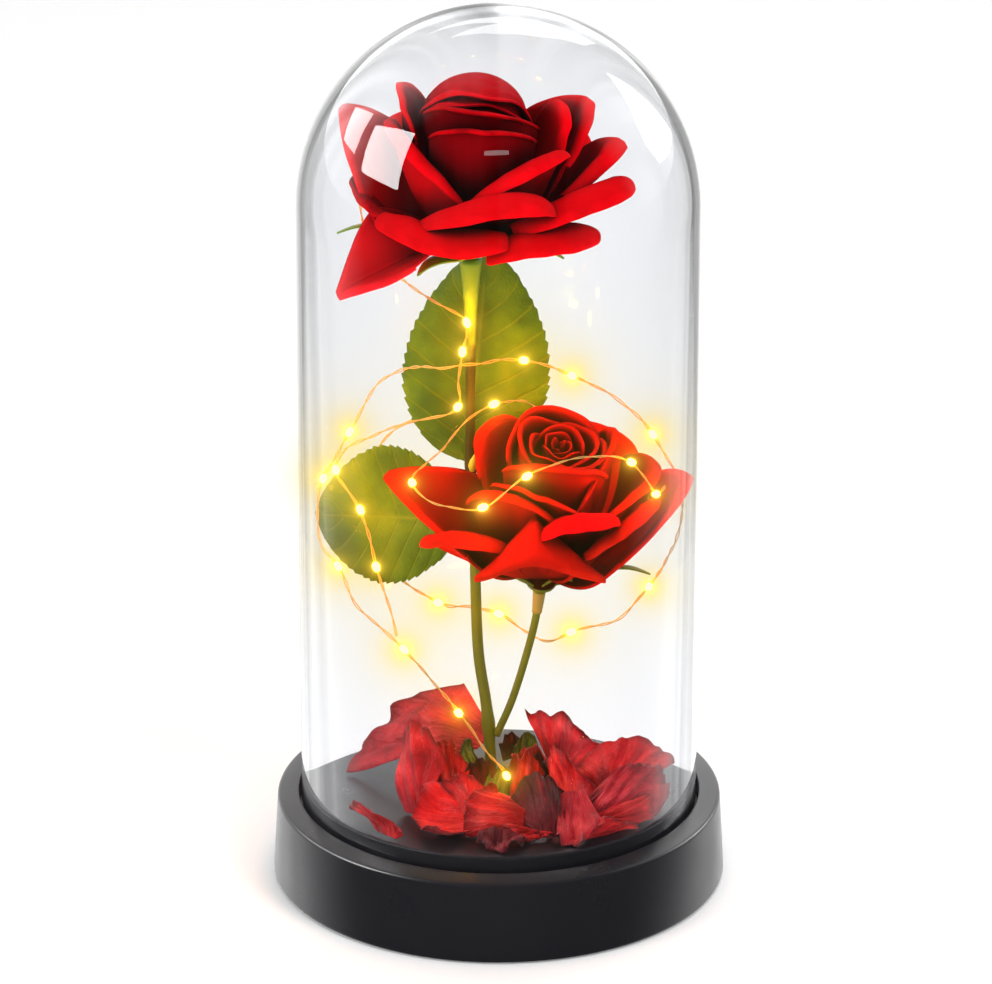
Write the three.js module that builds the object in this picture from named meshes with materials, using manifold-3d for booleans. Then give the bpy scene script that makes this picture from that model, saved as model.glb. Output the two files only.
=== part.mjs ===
// Preserved rose in a glass dome: two velvet roses on one forked stem, two serrated leaves, fallen
// petals on the deck and a fairy-light string, all under a clear bell that rests in a round base.
// Millimetres, +Z up. Origin: centre of the underside. The front of the piece faces -Y.
import * as THREE from 'three';
import { mergeVertices } from 'three/addons/utils/BufferGeometryUtils.js';
import Module from 'manifold-3d';

const wasm = await Module();
wasm.setup();

// Driving dimensions
const GAP = 0.3;
const BASE_FOOT_R = 57.5;
const BASE_TOP_R = 56.3;
const BASE_TOP_Z = 21;
const RING_INNER_R = 50.9;
const RING_INNER_Z = 22;
const GROOVE_Z = 17;
const PLUG_R = 47.2;
const DECK_Z = 25;
const ROUND_SIDES = 32;
const COVER_SEAT_R = 32;
const COVER_SEAT_DEPTH = 2.4;
const DOME_R = 50.2;
const DOME_WALL = 2.2;
const DOME_CENTRE_Z = 180;
const STEM_R = 1.4;
const BRANCH_R = 0.95;
const PETAL_THICK = 0.8;
const FALLEN_THICK = 0.7;
const DECK_PETAL_REACH = 46;
const LEAF_THICK = 0.8;
const LEAF_TIP_HALF = 0.7;
const WIRE_R = 0.45;
const BEAD_R = 1.2;
const CLEARANCE = 0.4;
const CURL = 2.4;
const ROLL_MIN = 3;
const BODY_LEVELS = [0.1, 0.4, 0.7, 1];
const ROLLED_LEVELS = [0.15, 0.6, 1, 1.5, 2];
const SIMPLIFY = [0.6, 0.5, 0.4, 0.3, 0.2, 0.1, 0.05];
const FINE_SIMPLIFY = 0.03;
const SLIM_FACET = 0.006;

const HEAD_UPPER = [-7, 0, 175];
const HEAD_LOWER = [10, -3, 90];

const FINISH = {
  base: { color: 0x1b1c1f, roughness: 0.5, metalness: 0 },
  cover: { color: 0x232427, roughness: 0.6, metalness: 0 },
  glass: { color: 0xe8eef2, roughness: 0.03, metalness: 0, opacity: 0.25, transparent: true },
  velvet: { color: 0xb0050f, roughness: 0.85, metalness: 0 },
  velvetDark: { color: 0x8e0711, roughness: 0.85, metalness: 0 },
  velvetWarm: { color: 0xc8140c, roughness: 0.85, metalness: 0 },
  fallen: { color: 0xb5303c, roughness: 0.75, metalness: 0 },
  fallenDark: { color: 0x5c0d18, roughness: 0.8, metalness: 0 },
  stem: { color: 0x5f7a2a, roughness: 0.6, metalness: 0 },
  leaf: { color: 0x6d8f2c, roughness: 0.6, metalness: 0 },
  bud: { color: 0xb5bd4a, roughness: 0.6, metalness: 0 },
  wire: { color: 0xc98a4b, roughness: 0.35, metalness: 1 },
  lamp: { color: 0xffd98a, roughness: 0.3, metalness: 0 },
};

const group = new THREE.Group();
group.name = 'preserved_rose_in_glass_dome';

function material(finish) {
  return new THREE.MeshStandardMaterial(FINISH[finish]);
}

function addMesh(name, geometry, finish) {
  const mesh = new THREE.Mesh(geometry, material(finish));
  mesh.name = name;
  group.add(mesh);
  return mesh;
}

// Small vector helpers
const add = (a, b) => [a[0] + b[0], a[1] + b[1], a[2] + b[2]];
const sub = (a, b) => [a[0] - b[0], a[1] - b[1], a[2] - b[2]];
const scale = (a, k) => [a[0] * k, a[1] * k, a[2] * k];
const mix = (a, b, t) => add(scale(a, 1 - t), scale(b, t));
const cross = (a, b) => [a[1] * b[2] - a[2] * b[1], a[2] * b[0] - a[0] * b[2], a[0] * b[1] - a[1] * b[0]];
const length = (a) => Math.hypot(a[0], a[1], a[2]);
const unit = (a) => scale(a, 1 / (length(a) || 1));

// Solids
function solidOf(geometry) {
  geometry.deleteAttribute('normal');
  geometry.deleteAttribute('uv');
  const merged = mergeVertices(geometry, 1e-4);
  return new wasm.Manifold(new wasm.Mesh({
    numProp: 3,
    vertProperties: new Float32Array(merged.attributes.position.array),
    triVerts: new Uint32Array(merged.index.array),
  }));
}

function geometryOf(solid) {
  const mesh = solid.getMesh();
  const geometry = new THREE.BufferGeometry();
  geometry.setAttribute('position', new THREE.BufferAttribute(new Float32Array(mesh.vertProperties), 3));
  geometry.setIndex(new THREE.BufferAttribute(new Uint32Array(mesh.triVerts), 1));
  const flat = geometry.toNonIndexed();
  flat.computeVertexNormals();
  return flat;
}

function largestBody(solid) {
  const bodies = solid.decompose();
  bodies.sort((a, b) => b.volume() - a.volume());
  return bodies[0];
}

function lathe(profile, segments) {
  const geometry = new THREE.LatheGeometry(profile.map(([r, z]) => new THREE.Vector2(r, z)), segments);
  geometry.rotateX(Math.PI / 2);
  geometry.rotateZ(Math.PI / segments);
  return geometry;
}

function place(geometry, at, axis) {
  const up = new THREE.Vector3(0, 0, 1);
  const turn = new THREE.Quaternion().setFromUnitVectors(up, new THREE.Vector3(...axis));
  geometry.applyQuaternion(turn);
  geometry.translate(...at);
  return geometry;
}

// A closed shell around a grid of surface points: both faces and the wall round the edge.
function shell(point, columns, levels, thick, reach = 0) {
  const rows = levels.length - 1;
  const grid = levels.map((level, j) => Array.from({ length: columns + 1 }, (_, i) => {
    const u = (-1 + (2 * i) / columns) * (i === 0 || i === columns ? 1 + reach : 1);
    return point(u, level * (j === rows ? 1 + reach : 1));
  }));
  const front = [];
  const back = [];
  for (let j = 0; j <= rows; j += 1) {
    for (let i = 0; i <= columns; i += 1) {
      const across = sub(grid[j][Math.min(i + 1, columns)], grid[j][Math.max(i - 1, 0)]);
      const along = sub(grid[Math.min(j + 1, rows)][i], grid[Math.max(j - 1, 0)][i]);
      const normal = unit(cross(across, along));
      front.push(add(grid[j][i], scale(normal, thick / 2)));
      back.push(add(grid[j][i], scale(normal, -thick / 2)));
    }
  }
  const positions = [...front, ...back].flat();
  const width = columns + 1;
  const offset = front.length;
  const faces = [];
  for (let j = 0; j < rows; j += 1) {
    for (let i = 0; i < columns; i += 1) {
      const a = j * width + i;
      const b = a + 1;
      const c = a + width + 1;
      const d = a + width;
      faces.push(a, b, c, a, c, d);
      faces.push(offset + a, offset + c, offset + b, offset + a, offset + d, offset + c);
    }
  }
  const ring = [];
  for (let i = 0; i < columns; i += 1) ring.push(i);
  for (let j = 0; j < rows; j += 1) ring.push(j * width + columns);
  for (let i = columns; i > 0; i -= 1) ring.push(rows * width + i);
  for (let j = rows; j > 0; j -= 1) ring.push(j * width);
  ring.forEach((a, k) => {
    const b = ring[(k + 1) % ring.length];
    faces.push(a, offset + b, b, a, offset + a, offset + b);
  });
  const geometry = new THREE.BufferGeometry();
  geometry.setAttribute('position', new THREE.Float32BufferAttribute(positions, 3));
  geometry.setIndex(faces);
  return geometry;
}

// A round bar swept along a smooth route. stations lists [place along the route 0..1, radius].
function sweep(route, stations, sides) {
  const curve = new THREE.CatmullRomCurve3(route.map((p) => new THREE.Vector3(...p)), false, 'centripetal');
  let normal = new THREE.Vector3(1, 0, 0);
  const positions = [];
  stations.forEach(([t, radius]) => {
    const centre = curve.getPointAt(t);
    const tangent = curve.getTangentAt(t);
    normal = normal.clone().addScaledVector(tangent, -normal.dot(tangent)).normalize();
    const other = tangent.clone().cross(normal);
    for (let k = 0; k < sides; k += 1) {
      const angle = (2 * Math.PI * k) / sides;
      const p = centre.clone()
        .addScaledVector(normal, Math.cos(angle) * radius)
        .addScaledVector(other, Math.sin(angle) * radius);
      positions.push(p.x, p.y, p.z);
    }
  });
  const faces = [];
  for (let i = 0; i < stations.length - 1; i += 1) {
    for (let k = 0; k < sides; k += 1) {
      const a = i * sides + k;
      const b = i * sides + ((k + 1) % sides);
      faces.push(a, b, b + sides, a, b + sides, a + sides);
    }
  }
  const last = (stations.length - 1) * sides;
  for (let k = 1; k < sides - 1; k += 1) {
    faces.push(0, k + 1, k);
    faces.push(last, last + k, last + k + 1);
  }
  const geometry = new THREE.BufferGeometry();
  geometry.setAttribute('position', new THREE.Float32BufferAttribute(positions, 3));
  geometry.setIndex(faces);
  return geometry;
}

function evenStations(count, radiusAt) {
  return Array.from({ length: count + 1 }, (_, i) => [i / count, radiusAt(i / count)]);
}

// Petals
const even = (count) => Array.from({ length: count + 1 }, (_, i) => i / count);

// A petal fans out from its root on the flower head to a rim given by three points. belly bows it
// outward and down between the two, arch lifts its middle, and sharp (0 to 1) draws the rim from a
// smooth arc towards a point at its middle. Past v = 1 the rim rolls outward with radius lip, which
// is widest at the middle and thins out towards both ends.
function petalPoint(petal, head) {
  const [a, b, c] = petal.rim;
  const control = sub(scale(b, 2), scale(add(a, c), 0.5));
  const foot = [head[0], head[1], head[2] - (petal.drop ?? 0)];
  const rimPoint = (u) => {
    const t = (u + 1) / 2;
    const arc = add(add(scale(a, (1 - t) ** 2), scale(control, 2 * t * (1 - t))), scale(c, t * t));
    const soft = Math.min(Math.sqrt(u * u + 0.012) - 0.0548 * (1 - Math.abs(u)), 1);
    return mix(arc, mix(b, u < 0 ? a : c, soft), petal.sharp ?? 0);
  };
  const outward = (u) => {
    const rim = rimPoint(u);
    return unit([rim[0] - head[0], rim[1] - head[1], 0]);
  };
  const body = (u, w) => {
    const out = outward(u);
    const bow = petal.belly * Math.sin(Math.PI * Math.max(w, 0) ** 0.8);
    const lift = (petal.arch ?? 0) * Math.sin(Math.PI * Math.max(w, 0) ** 2.2) * (1 - 0.55 * Math.abs(u));
    const p = mix(add(foot, scale(out, petal.root ?? 3)), rimPoint(u), w);
    return add(p, add(scale(out, bow * 0.75), [0, 0, lift - bow * 0.65]));
  };
  if (!isRolled(petal)) return body;
  return (u, v) => {
    const out = outward(u);
    const climb = sub(body(u, 1), body(u, 0.94));
    const [ahead, up] = [climb[0] * out[0] + climb[1] * out[1], climb[2]];
    const rise = unit(add(scale(out, ahead), [0, 0, up]));
    const over = unit(add(scale(out, up), [0, 0, -ahead]));
    const radius = petal.lip * (0.3 + 0.7 * Math.max(1 - u * u, 0) ** 0.7);
    const w = Math.min(v, 1);
    const turn = Math.max(v - 1, 0) * CURL;
    const p = sub(body(u, w), scale(rise, radius * w ** 5));
    return add(p, add(scale(rise, radius * Math.sin(turn)), scale(over, radius * (1 - Math.cos(turn)))));
  };
}
const isRolled = (petal) => (petal.lip ?? 0) >= ROLL_MIN;

const UPPER_PETALS = [
  { name: 'bud_front', rim: [[-18, -6, 208.5], [-5.5, -15.5, 210.5], [9, -5, 204]],
    belly: 6, root: 2, finish: 'velvetDark' },
  { name: 'bud_right', rim: [[9, 6, 202], [14, 0, 207], [15, -10, 199]], belly: 6, root: 2.5 },
  { name: 'left_tall', rim: [[-20, -9, 203], [-24, 0, 212], [-18, 10, 206]], belly: 6, root: 2.5 },
  { name: 'front_upright', rim: [[-17, -14, 204], [-4.4, -20, 208], [9, -14, 202.5]],
    belly: 6, drop: 1, finish: 'velvetDark' },
  { name: 'left_strip', columns: 3, rim: [[-26, 2, 203.5], [-20, -14, 201.5], [-8.5, -23, 190.5]],
    belly: 5, lip: 2.8, root: 3.5, drop: 1.5 },
  { name: 'right_front', rim: [[-6.5, -24, 192.5], [5, -21.5, 200], [15, -12, 201]],
    belly: 5, lip: 3.4, root: 3.5, drop: 1.5 },
  { name: 'right_upper', rim: [[6, 12, 202], [21, 4, 207], [17, -8, 195]],
    belly: 5, root: 3.5, drop: 1, sharp: 0.4 },
  { name: 'far_left', columns: 3, rim: [[-25, 11, 199], [-38, 4, 205.5], [-33, -9, 184.5]],
    belly: 7, root: 4, drop: 2, sharp: 0.8 },
  { name: 'left_low', columns: 3, rim: [[-36, -2, 190], [-31, -11, 185], [-20, -19, 184]],
    belly: 4, root: 4, drop: 2.5, finish: 'velvetDark' },
  { name: 'centre_roll', columns: 3, rim: [[-18.5, -23, 187], [-1, -28, 196], [12.5, -23, 191]],
    belly: 4, lip: 4.2, root: 4, drop: 3 },
  { name: 'right_side', columns: 3, rim: [[19, 3, 194.5], [27.5, -3, 199], [16, -15, 190]],
    belly: 5, lip: 2.8, root: 4, drop: 2.5 },
  { name: 'right_long', columns: 3, rim: [[3, -23.5, 185], [20, -18.5, 192.5], [32.3, -5, 191]],
    belly: 4, lip: 3.8, root: 4.5, drop: 3.5 },
  { name: 'front_left_roll', columns: 3, rim: [[-28.5, -16, 186], [-13, -28, 187], [2, -28, 184.5]],
    belly: 2.5, lip: 3.6, root: 4.5, drop: 4 },
  { name: 'right_low', columns: 3, rim: [[-3, -27.5, 180], [12, -24, 185], [25, -9, 178.5]],
    belly: 1.5, lip: 3.6, root: 5, drop: 4.5 },
  { name: 'left_point', columns: 3, rim: [[-32, -5, 181.5], [-40, -14, 162.5], [-21, -18.5, 170.5]],
    belly: -3, root: 5, drop: 4, sharp: 0.7 },
  { name: 'back_right', columns: 3, rim: [[4, 21, 195], [15, 23, 196], [22, 9, 193]],
    belly: 5, lip: 2.4, root: 4, drop: 2 },
  { name: 'back_left', columns: 3, rim: [[-28, 12, 197], [-20, 25, 197], [-7, 26, 197]],
    belly: 5, lip: 2.4, root: 4, drop: 2 },
];

const LOWER_PETALS = [
  { name: 'bud_left', rim: [[-4.5, -21, 119.5], [-3, -10, 126], [6, 0, 126]], belly: 5, root: 2.5 },
  { name: 'bud_front', rim: [[1, -24, 122.5], [13, -31, 124.5], [26.5, -24.5, 121]], belly: 5, root: 2.5 },
  { name: 'right_tall', rim: [[26, -4, 124], [31.5, -14, 124], [19, -32, 113.5]], belly: 6, drop: 0.5 },
  { name: 'front_second', rim: [[-2, -26, 119], [8, -34, 119], [20, -35, 114]], belly: 5, drop: 1 },
  { name: 'right_upper', rim: [[31, -6, 119], [37, -17, 118], [27, -33, 113]],
    belly: 5, root: 3.5, drop: 1.5 },
  { name: 'long_left', rim: [[-6, -8, 115.5], [-27, -17, 118], [-8, -32.5, 103]],
    belly: 5, root: 4, drop: 2.5, sharp: 0.6 },
  { name: 'front_cup', rim: [[-8, -29, 115.5], [1.5, -34.5, 119], [14, -36, 112.5]],
    belly: 4, root: 4, drop: 3 },
  { name: 'right_pink', columns: 3, rim: [[9.5, -36, 110], [19, -37, 115], [29, -31.5, 112]],
    belly: 3, lip: 3.4, root: 4, drop: 3 },
  { name: 'right_roll', columns: 3, rim: [[21, -35, 103.5], [31, -30, 110.5], [38, -18, 113.5]],
    belly: 4, lip: 2.6, root: 4.5, drop: 4 },
  { name: 'front_left_roll', columns: 3, rim: [[-19, -25.5, 104], [-11, -32, 108.5], [1, -34.5, 105.5]],
    belly: 2, lip: 3, root: 4.5, drop: 4 },
  { name: 'far_right', columns: 3, rim: [[36, -3, 112], [45, -10, 111], [30, -31, 99]],
    belly: 5, root: 5, drop: 4.5 },
  { name: 'front_fold', columns: 3, rim: [[-6.5, -38, 97.5], [8.5, -42, 100.5], [26, -37, 96.5]],
    belly: 0, root: 5, drop: 4, sharp: 0.3, arch: 14 },
  { name: 'back_left', columns: 3, rim: [[-4, -2, 117], [-1, 9, 118], [9, 15, 118]],
    belly: 5, root: 4, drop: 2 },
  { name: 'back_right', columns: 3, rim: [[13, 17, 118], [26, 14, 117], [34, 2, 114.5]],
    belly: 5, root: 4, drop: 2 },
];

function headPetals(prefix, head, petals, placed) {
  petals.forEach((petal) => {
    const shape = { columns: 4, ...petal };
    const point = petalPoint(shape, head);
    const levels = isRolled(shape) ? ROLLED_LEVELS : BODY_LEVELS;
    const sheet = solidOf(shell(point, shape.columns, levels, PETAL_THICK));
    const clear = solidOf(shell(point, shape.columns, levels, PETAL_THICK + 2 * CLEARANCE, 0.03));
    const body = addCut(`${prefix}_${shape.name}`, sheet, placed, shape.finish ?? 'velvet');
    placed.push({ body, clear });
  });
}

// Trims a piece clear of the pieces placed before it. Each of those has its body and, where it
// needs air around it, a slightly larger clear form.
function addCut(name, solid, placed, finish) {
  const near = placed.filter((other) => overlaps(solid, other.clear));
  const cut = (piece, depth, side) => largestBody(near.reduce((rest, other) => {
    if (rest.intersect(other[side]).volume() <= depth) return rest;
    const parted = rest.subtract(other.clear);
    return parted.intersect(other.body).volume() > 0.001 ? parted.subtract(other.body) : parted;
  }, piece));
  const whole = cut(solid, 0.02, 'clear');
  const choices = SIMPLIFY.flatMap((tolerance) => {
    const piece = cut(largestBody(whole.simplify(tolerance)), 0.002, 'body');
    return [piece, largestBody(piece.simplify(FINE_SIMPLIFY))];
  }).filter((piece) => !near.some((other) => piece.intersect(other.body).volume() > 0.002));
  const sound = choices.filter((piece) => crossings(piece) === 0);
  const stout = sound.filter((piece) => slimmest(piece) > SLIM_FACET);
  const trimmed = [stout, sound, choices].find((list) => list.length > 0).reduce((best, piece) => (
    piece.numTri() < best.numTri() ? piece : best));
  addMesh(name, geometryOf(trimmed), finish);
  return trimmed;
}

function facetsOf(solid) {
  const mesh = solid.getMesh();
  const corner = (k) => new THREE.Vector3(...mesh.vertProperties.slice(3 * k, 3 * k + 3));
  return Array.from({ length: mesh.triVerts.length / 3 }, (_, i) => {
    const ids = Array.from(mesh.triVerts.slice(3 * i, 3 * i + 3));
    const points = ids.map(corner);
    return { ids, points, box: new THREE.Box3().setFromPoints(points) };
  });
}

// The least height of any facet over its longest side.
function slimmest(solid) {
  return Math.min(...facetsOf(solid).map(({ points: [a, b, c] }) => {
    const sides = [a.distanceTo(b), b.distanceTo(c), c.distanceTo(a)];
    return b.clone().sub(a).cross(c.clone().sub(a)).length() / Math.max(...sides, 1e-9);
  }));
}

// Counts how often an edge of the piece runs through another of its own facets.
function crossings(solid) {
  const facets = facetsOf(solid);
  const ray = new THREE.Ray();
  const hit = new THREE.Vector3();
  let count = 0;
  facets.forEach((one) => {
    facets.forEach((other) => {
      if (!one.box.intersectsBox(other.box) || one.ids.some((k) => other.ids.includes(k))) return;
      one.points.forEach((start, k) => {
        const along = one.points[(k + 1) % 3].clone().sub(start);
        const reach = along.length();
        ray.set(start, along.normalize());
        const found = ray.intersectTriangle(...other.points, false, hit);
        if (found && start.distanceTo(hit) < reach) count += 1;
      });
    });
  });
  return count;
}

function overlaps(one, other) {
  const a = one.boundingBox();
  const b = other.boundingBox();
  return [0, 1, 2].every((i) => a.min[i] <= b.max[i] && b.min[i] <= a.max[i]);
}

// Base
const baseProfile = [
  [0, COVER_SEAT_DEPTH], [COVER_SEAT_R, COVER_SEAT_DEPTH], [COVER_SEAT_R, 0], [BASE_FOOT_R, 0],
  [BASE_TOP_R, BASE_TOP_Z - 0.7], [BASE_TOP_R - 0.7, BASE_TOP_Z],
  [RING_INNER_R, RING_INNER_Z], [RING_INNER_R, GROOVE_Z], [PLUG_R, GROOVE_Z],
  [PLUG_R, DECK_Z], [0, DECK_Z],
];
addMesh('base', lathe(baseProfile, ROUND_SIDES), 'base');
addMesh('battery_cover', lathe([
  [0, 0], [COVER_SEAT_R - 0.5, 0], [COVER_SEAT_R - 0.5, COVER_SEAT_DEPTH - GAP], [0, COVER_SEAT_DEPTH - GAP],
], 24), 'cover');

// Dome
const domeProfile = [];
const domeSteps = 6;
const domeFoot = GROOVE_Z + GAP;
const innerR = DOME_R - DOME_WALL;
domeProfile.push([innerR, domeFoot], [DOME_R, domeFoot]);
for (let i = 0; i < domeSteps; i += 1) {
  const angle = (Math.PI / 2) * (i / domeSteps);
  domeProfile.push([DOME_R * Math.cos(angle), DOME_CENTRE_Z + DOME_R * Math.sin(angle)]);
}
domeProfile.push([0, DOME_CENTRE_Z + DOME_R], [0, DOME_CENTRE_Z + innerR]);
for (let i = domeSteps - 1; i >= 0; i -= 1) {
  const angle = (Math.PI / 2) * (i / domeSteps);
  domeProfile.push([innerR * Math.cos(angle), DOME_CENTRE_Z + innerR * Math.sin(angle)]);
}
domeProfile.push([innerR, domeFoot]);
addMesh('glass_dome', lathe(domeProfile, ROUND_SIDES), 'glass');

// Stems
const MAIN_ROUTE = [[-2, -2, DECK_Z + 2 * GAP], [-2, 0, 34], [-3, 1, 48], [-5, 2, 62], [-6, 2, 89],
  [-7, 1, 114], [-7, 0, 147], [-7, 0, 166.1]];
const BRANCH_ROUTE = [[0.3, -0.3, 42], [3, -1, 50], [7, -2, 64], [9.2, -3, 74], [10, -3, 80.5]];
const mainRadius = (t) => {
  if (t < 0.02) return STEM_R + 0.5;
  return t > 0.86 ? STEM_R + (t - 0.86) * 12 : STEM_R - 0.2 * t;
};
const branchRadius = (t) => (t > 0.9 ? BRANCH_R + 0.55 : BRANCH_R);
const wider = (radiusAt) => (t) => radiusAt(t) + CLEARANCE;
const mainStem = solidOf(sweep(MAIN_ROUTE, evenStations(11, mainRadius), 8));
const mainClear = solidOf(sweep(MAIN_ROUTE, evenStations(11, wider(mainRadius)), 8));
const branch = solidOf(sweep(BRANCH_ROUTE, evenStations(8, branchRadius), 8)).subtract(mainClear);
const branchClear = solidOf(sweep(BRANCH_ROUTE, evenStations(8, wider(branchRadius)), 8));
addMesh('stem_main', geometryOf(mainStem), 'stem');
addMesh('stem_branch', geometryOf(branch), 'stem');
const placedStems = [{ body: mainStem, clear: mainClear }, { body: branch, clear: branchClear }];

// Fairy-light strings: stiff copper wire with a droplet lamp at each bead
const STRINGS = [
  {
    name: 'light_string_outer',
    route: [[-7, 7.5, 122], [-16, 9.5, 122], [-25, 12, 118], [-33, 13, 107], [-34, 13, 95], [-29, 13, 83],
      [-22, 13, 76], [-15, 14, 71], [-7, 19, 68], [0, 22, 65], [7, 20, 61], [12, 17.5, 59.5], [18, 20, 61],
      [29, 24, 63], [37, 20, 73], [42, 12, 85], [45, 4, 98], [44, 2, 108], [38, 8, 118], [30, 12, 125],
      [18, 8, 133], [6, 0, 140], [-6, -5, 141], [-14, -2, 139], [-23, 5, 136], [-30, 8, 131], [-37, 6, 119],
      [-41, 0, 113], [-43, -4, 110], [-44, -8, 102], [-43, -12, 95], [-39, -18, 92], [-35, -22, 84],
      [-23, -28, 74], [-10, -24, 56], [-3, -19, 44], [1, -17, 37.5]],
    beads: [[-16, 9.5, 122], [-15, 14, 71], [0, 22, 65], [18, 20, 61], [37, 20, 73], [38, 8, 118],
      [18, 8, 133], [6, 0, 140], [-37, 6, 119], [-43, -4, 110], [-39, -18, 92], [-23, -28, 74],
      [-10, -24, 56]],
  },
  {
    name: 'light_string_inner',
    route: [[-36, 12, 187], [-35, 12, 183], [-34, 10, 172], [-27, 7, 161], [-17, -3, 157], [-8, -5, 152],
      [-9, -5, 144], [-10, -6, 137], [-10, -5, 130], [-16, -2, 126], [-23, -1, 124], [-31, 1, 120],
      [-38, 2, 116], [-40, -2, 112], [-34, -8, 104], [-30, -14, 91], [-26, -21, 81], [-24.5, -25.5, 77]],
    beads: [[-35, 12, 183], [-8, -5, 152], [-9, -5, 144], [-10, -5, 130], [-40, -2, 112], [-34, -8, 104],
      [-30, -14, 91]],
  },
  {
    name: 'light_string_front',
    route: [[12, 6, 122], [8.5, 2, 127.5], [3, -3, 130.5], [-1, -6, 131], [-7, -7, 128], [-13, -14, 123],
      [-21, -34, 121], [-14, -42, 118], [-4, -43, 118], [7, -42, 126], [20, -40, 130], [32, -31, 125],
      [38, -25, 114], [40, -20, 114]],
    beads: [[-1, -6, 130], [-21, -34, 121], [-4, -43, 118], [7, -42, 126], [32, -31, 125], [38, -25, 114]],
  },
];
const BEAD_HALF = 1.5;
const WIRE_STEP = 25;
const WIRE_SIDES = 8;

function stringStations(spec, extra) {
  const points = spec.route.map((p) => new THREE.Vector3(...p));
  const curve = new THREE.CatmullRomCurve3(points, false, 'centripetal');
  const total = curve.getLength();
  const samples = Array.from({ length: 1201 }, (_, i) => curve.getPointAt(i / 1200));
  const stations = [[0, WIRE_R + extra]];
  const places = spec.beads.map((bead) => {
    const target = new THREE.Vector3(...bead);
    const distances = samples.map((p) => p.distanceTo(target));
    const nearest = distances.indexOf(Math.min(...distances)) / 1200;
    return Math.min(Math.max(nearest, (2 * BEAD_HALF) / total), 1 - (2 * BEAD_HALF) / total);
  }).sort((a, b) => a - b);
  places.forEach((t) => {
    const half = BEAD_HALF / total;
    stations.push([t - half, WIRE_R + extra], [t, BEAD_R + extra], [t + half, WIRE_R + extra]);
  });
  stations.push([1, WIRE_R + extra]);
  const filled = [stations[0]];
  stations.slice(1).forEach((next) => {
    const before = filled[filled.length - 1];
    const count = Math.floor(((next[0] - before[0]) * total) / WIRE_STEP);
    for (let k = 1; k <= count; k += 1) {
      filled.push([before[0] + ((next[0] - before[0]) * k) / (count + 1), WIRE_R + extra]);
    }
    filled.push(next);
  });
  return filled;
}
function lampForm(radius) {
  const steps = 4;
  const profile = [[0, -radius]];
  for (let i = 1; i < steps; i += 1) {
    const angle = -Math.PI / 2 + (Math.PI * i) / steps;
    profile.push([radius * Math.cos(angle), radius * Math.sin(angle)]);
  }
  return lathe([...profile, [0, radius]], 8);
}
addMesh('string_end_lamp', place(lampForm(BEAD_R), [1.9, -16.5, 36], [0, 0, 1]), 'lamp');
STRINGS.forEach((spec) => {
  addMesh(spec.name, geometryOf(solidOf(sweep(spec.route, stringStations(spec, 0), WIRE_SIDES))), 'wire');
});

// Calyx, sepals and buds
const AXES = { upper: unit([0.02, -0.05, 1]), lower: unit([0.14, -0.32, 1]) };

function sepal(head, tip, width) {
  const out = unit([tip[0] - head[0], tip[1] - head[1], 0]);
  const side = cross(out, [0, 0, 1]);
  const root = add([head[0], head[1], head[2] - 4.4], scale(out, 0.6));
  return (u, v) => {
    const half = width * (v < 0.35 ? 0.55 + 1.2 * v : 1 - ((v - 0.35) / 0.65) ** 1.5 * 0.9) * 0.5;
    const sag = -1.2 * Math.sin(Math.PI * v);
    return add(add(mix(root, tip, v), scale(side, half * u)), [0, 0, sag]);
  };
}

const CALYX = {
  upper: {
    at: [-7, 0, 166.4],
    cup: 5,
    tips: [[-36, -5, 175], [-20, -12, 166.5], [14, -10, 169.5], [7, 11, 169]],
  },
  lower: {
    at: [10, -3, 80.8],
    cup: 4.6,
    tips: [[-1, -12, 87], [18, -14, 86], [36, -7, 87], [3, 7, 86]],
  },
};

function calyxSolid(spec, head, axis) {
  const cup = solidOf(place(lathe([[0, 0], [1.8, 0], [spec.cup, 2.8], [0, 2.8]], 8), spec.at, axis));
  return spec.tips.reduce((whole, tip) => {
    const blade = solidOf(shell(sepal([spec.at[0], spec.at[1], spec.at[2] + 6], tip, 5), 2, even(2), 0.8));
    return whole.add(blade);
  }, cup);
}

function budSolid(at, axis, radius, height) {
  const profile = [[0, 0], [2.4, 0], [radius * 0.7, height * 0.25], [radius, height * 0.66],
    [radius * 0.96, height * 0.84], [radius * 0.68, height * 0.97], [radius * 0.25, height],
    [0, height * 0.96]];
  return place(lathe(profile, 12), at, axis);
}

const BUDS = {
  upper: { at: [-7, 0, 172], radius: 12.8, height: 41 },
  lower: { at: [10, -3, 87.4], radius: 11.4, height: 40.8 },
};

const budUpper = solidOf(budSolid(BUDS.upper.at, AXES.upper, BUDS.upper.radius, BUDS.upper.height));
const budUpperClear = solidOf(budSolid(add(BUDS.upper.at, [0, 0, -CLEARANCE]), AXES.upper,
  BUDS.upper.radius + CLEARANCE, BUDS.upper.height + 2 * CLEARANCE));
const budLower = solidOf(budSolid(BUDS.lower.at, AXES.lower, BUDS.lower.radius, BUDS.lower.height));
const budLowerClear = solidOf(budSolid(add(BUDS.lower.at, [0, 0, -CLEARANCE]), AXES.lower,
  BUDS.lower.radius + CLEARANCE, BUDS.lower.height + 2 * CLEARANCE));
addMesh('rose_upper_bud', geometryOf(budUpper), 'velvet');
addMesh('rose_lower_bud', geometryOf(budLower), 'velvet');

const placedUpper = [...placedStems, { body: budUpper, clear: budUpperClear }];
headPetals('rose_upper', HEAD_UPPER, UPPER_PETALS, placedUpper);
const placedLower = [...placedStems, { body: budLower, clear: budLowerClear }];
headPetals('rose_lower', HEAD_LOWER, LOWER_PETALS, placedLower);

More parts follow.
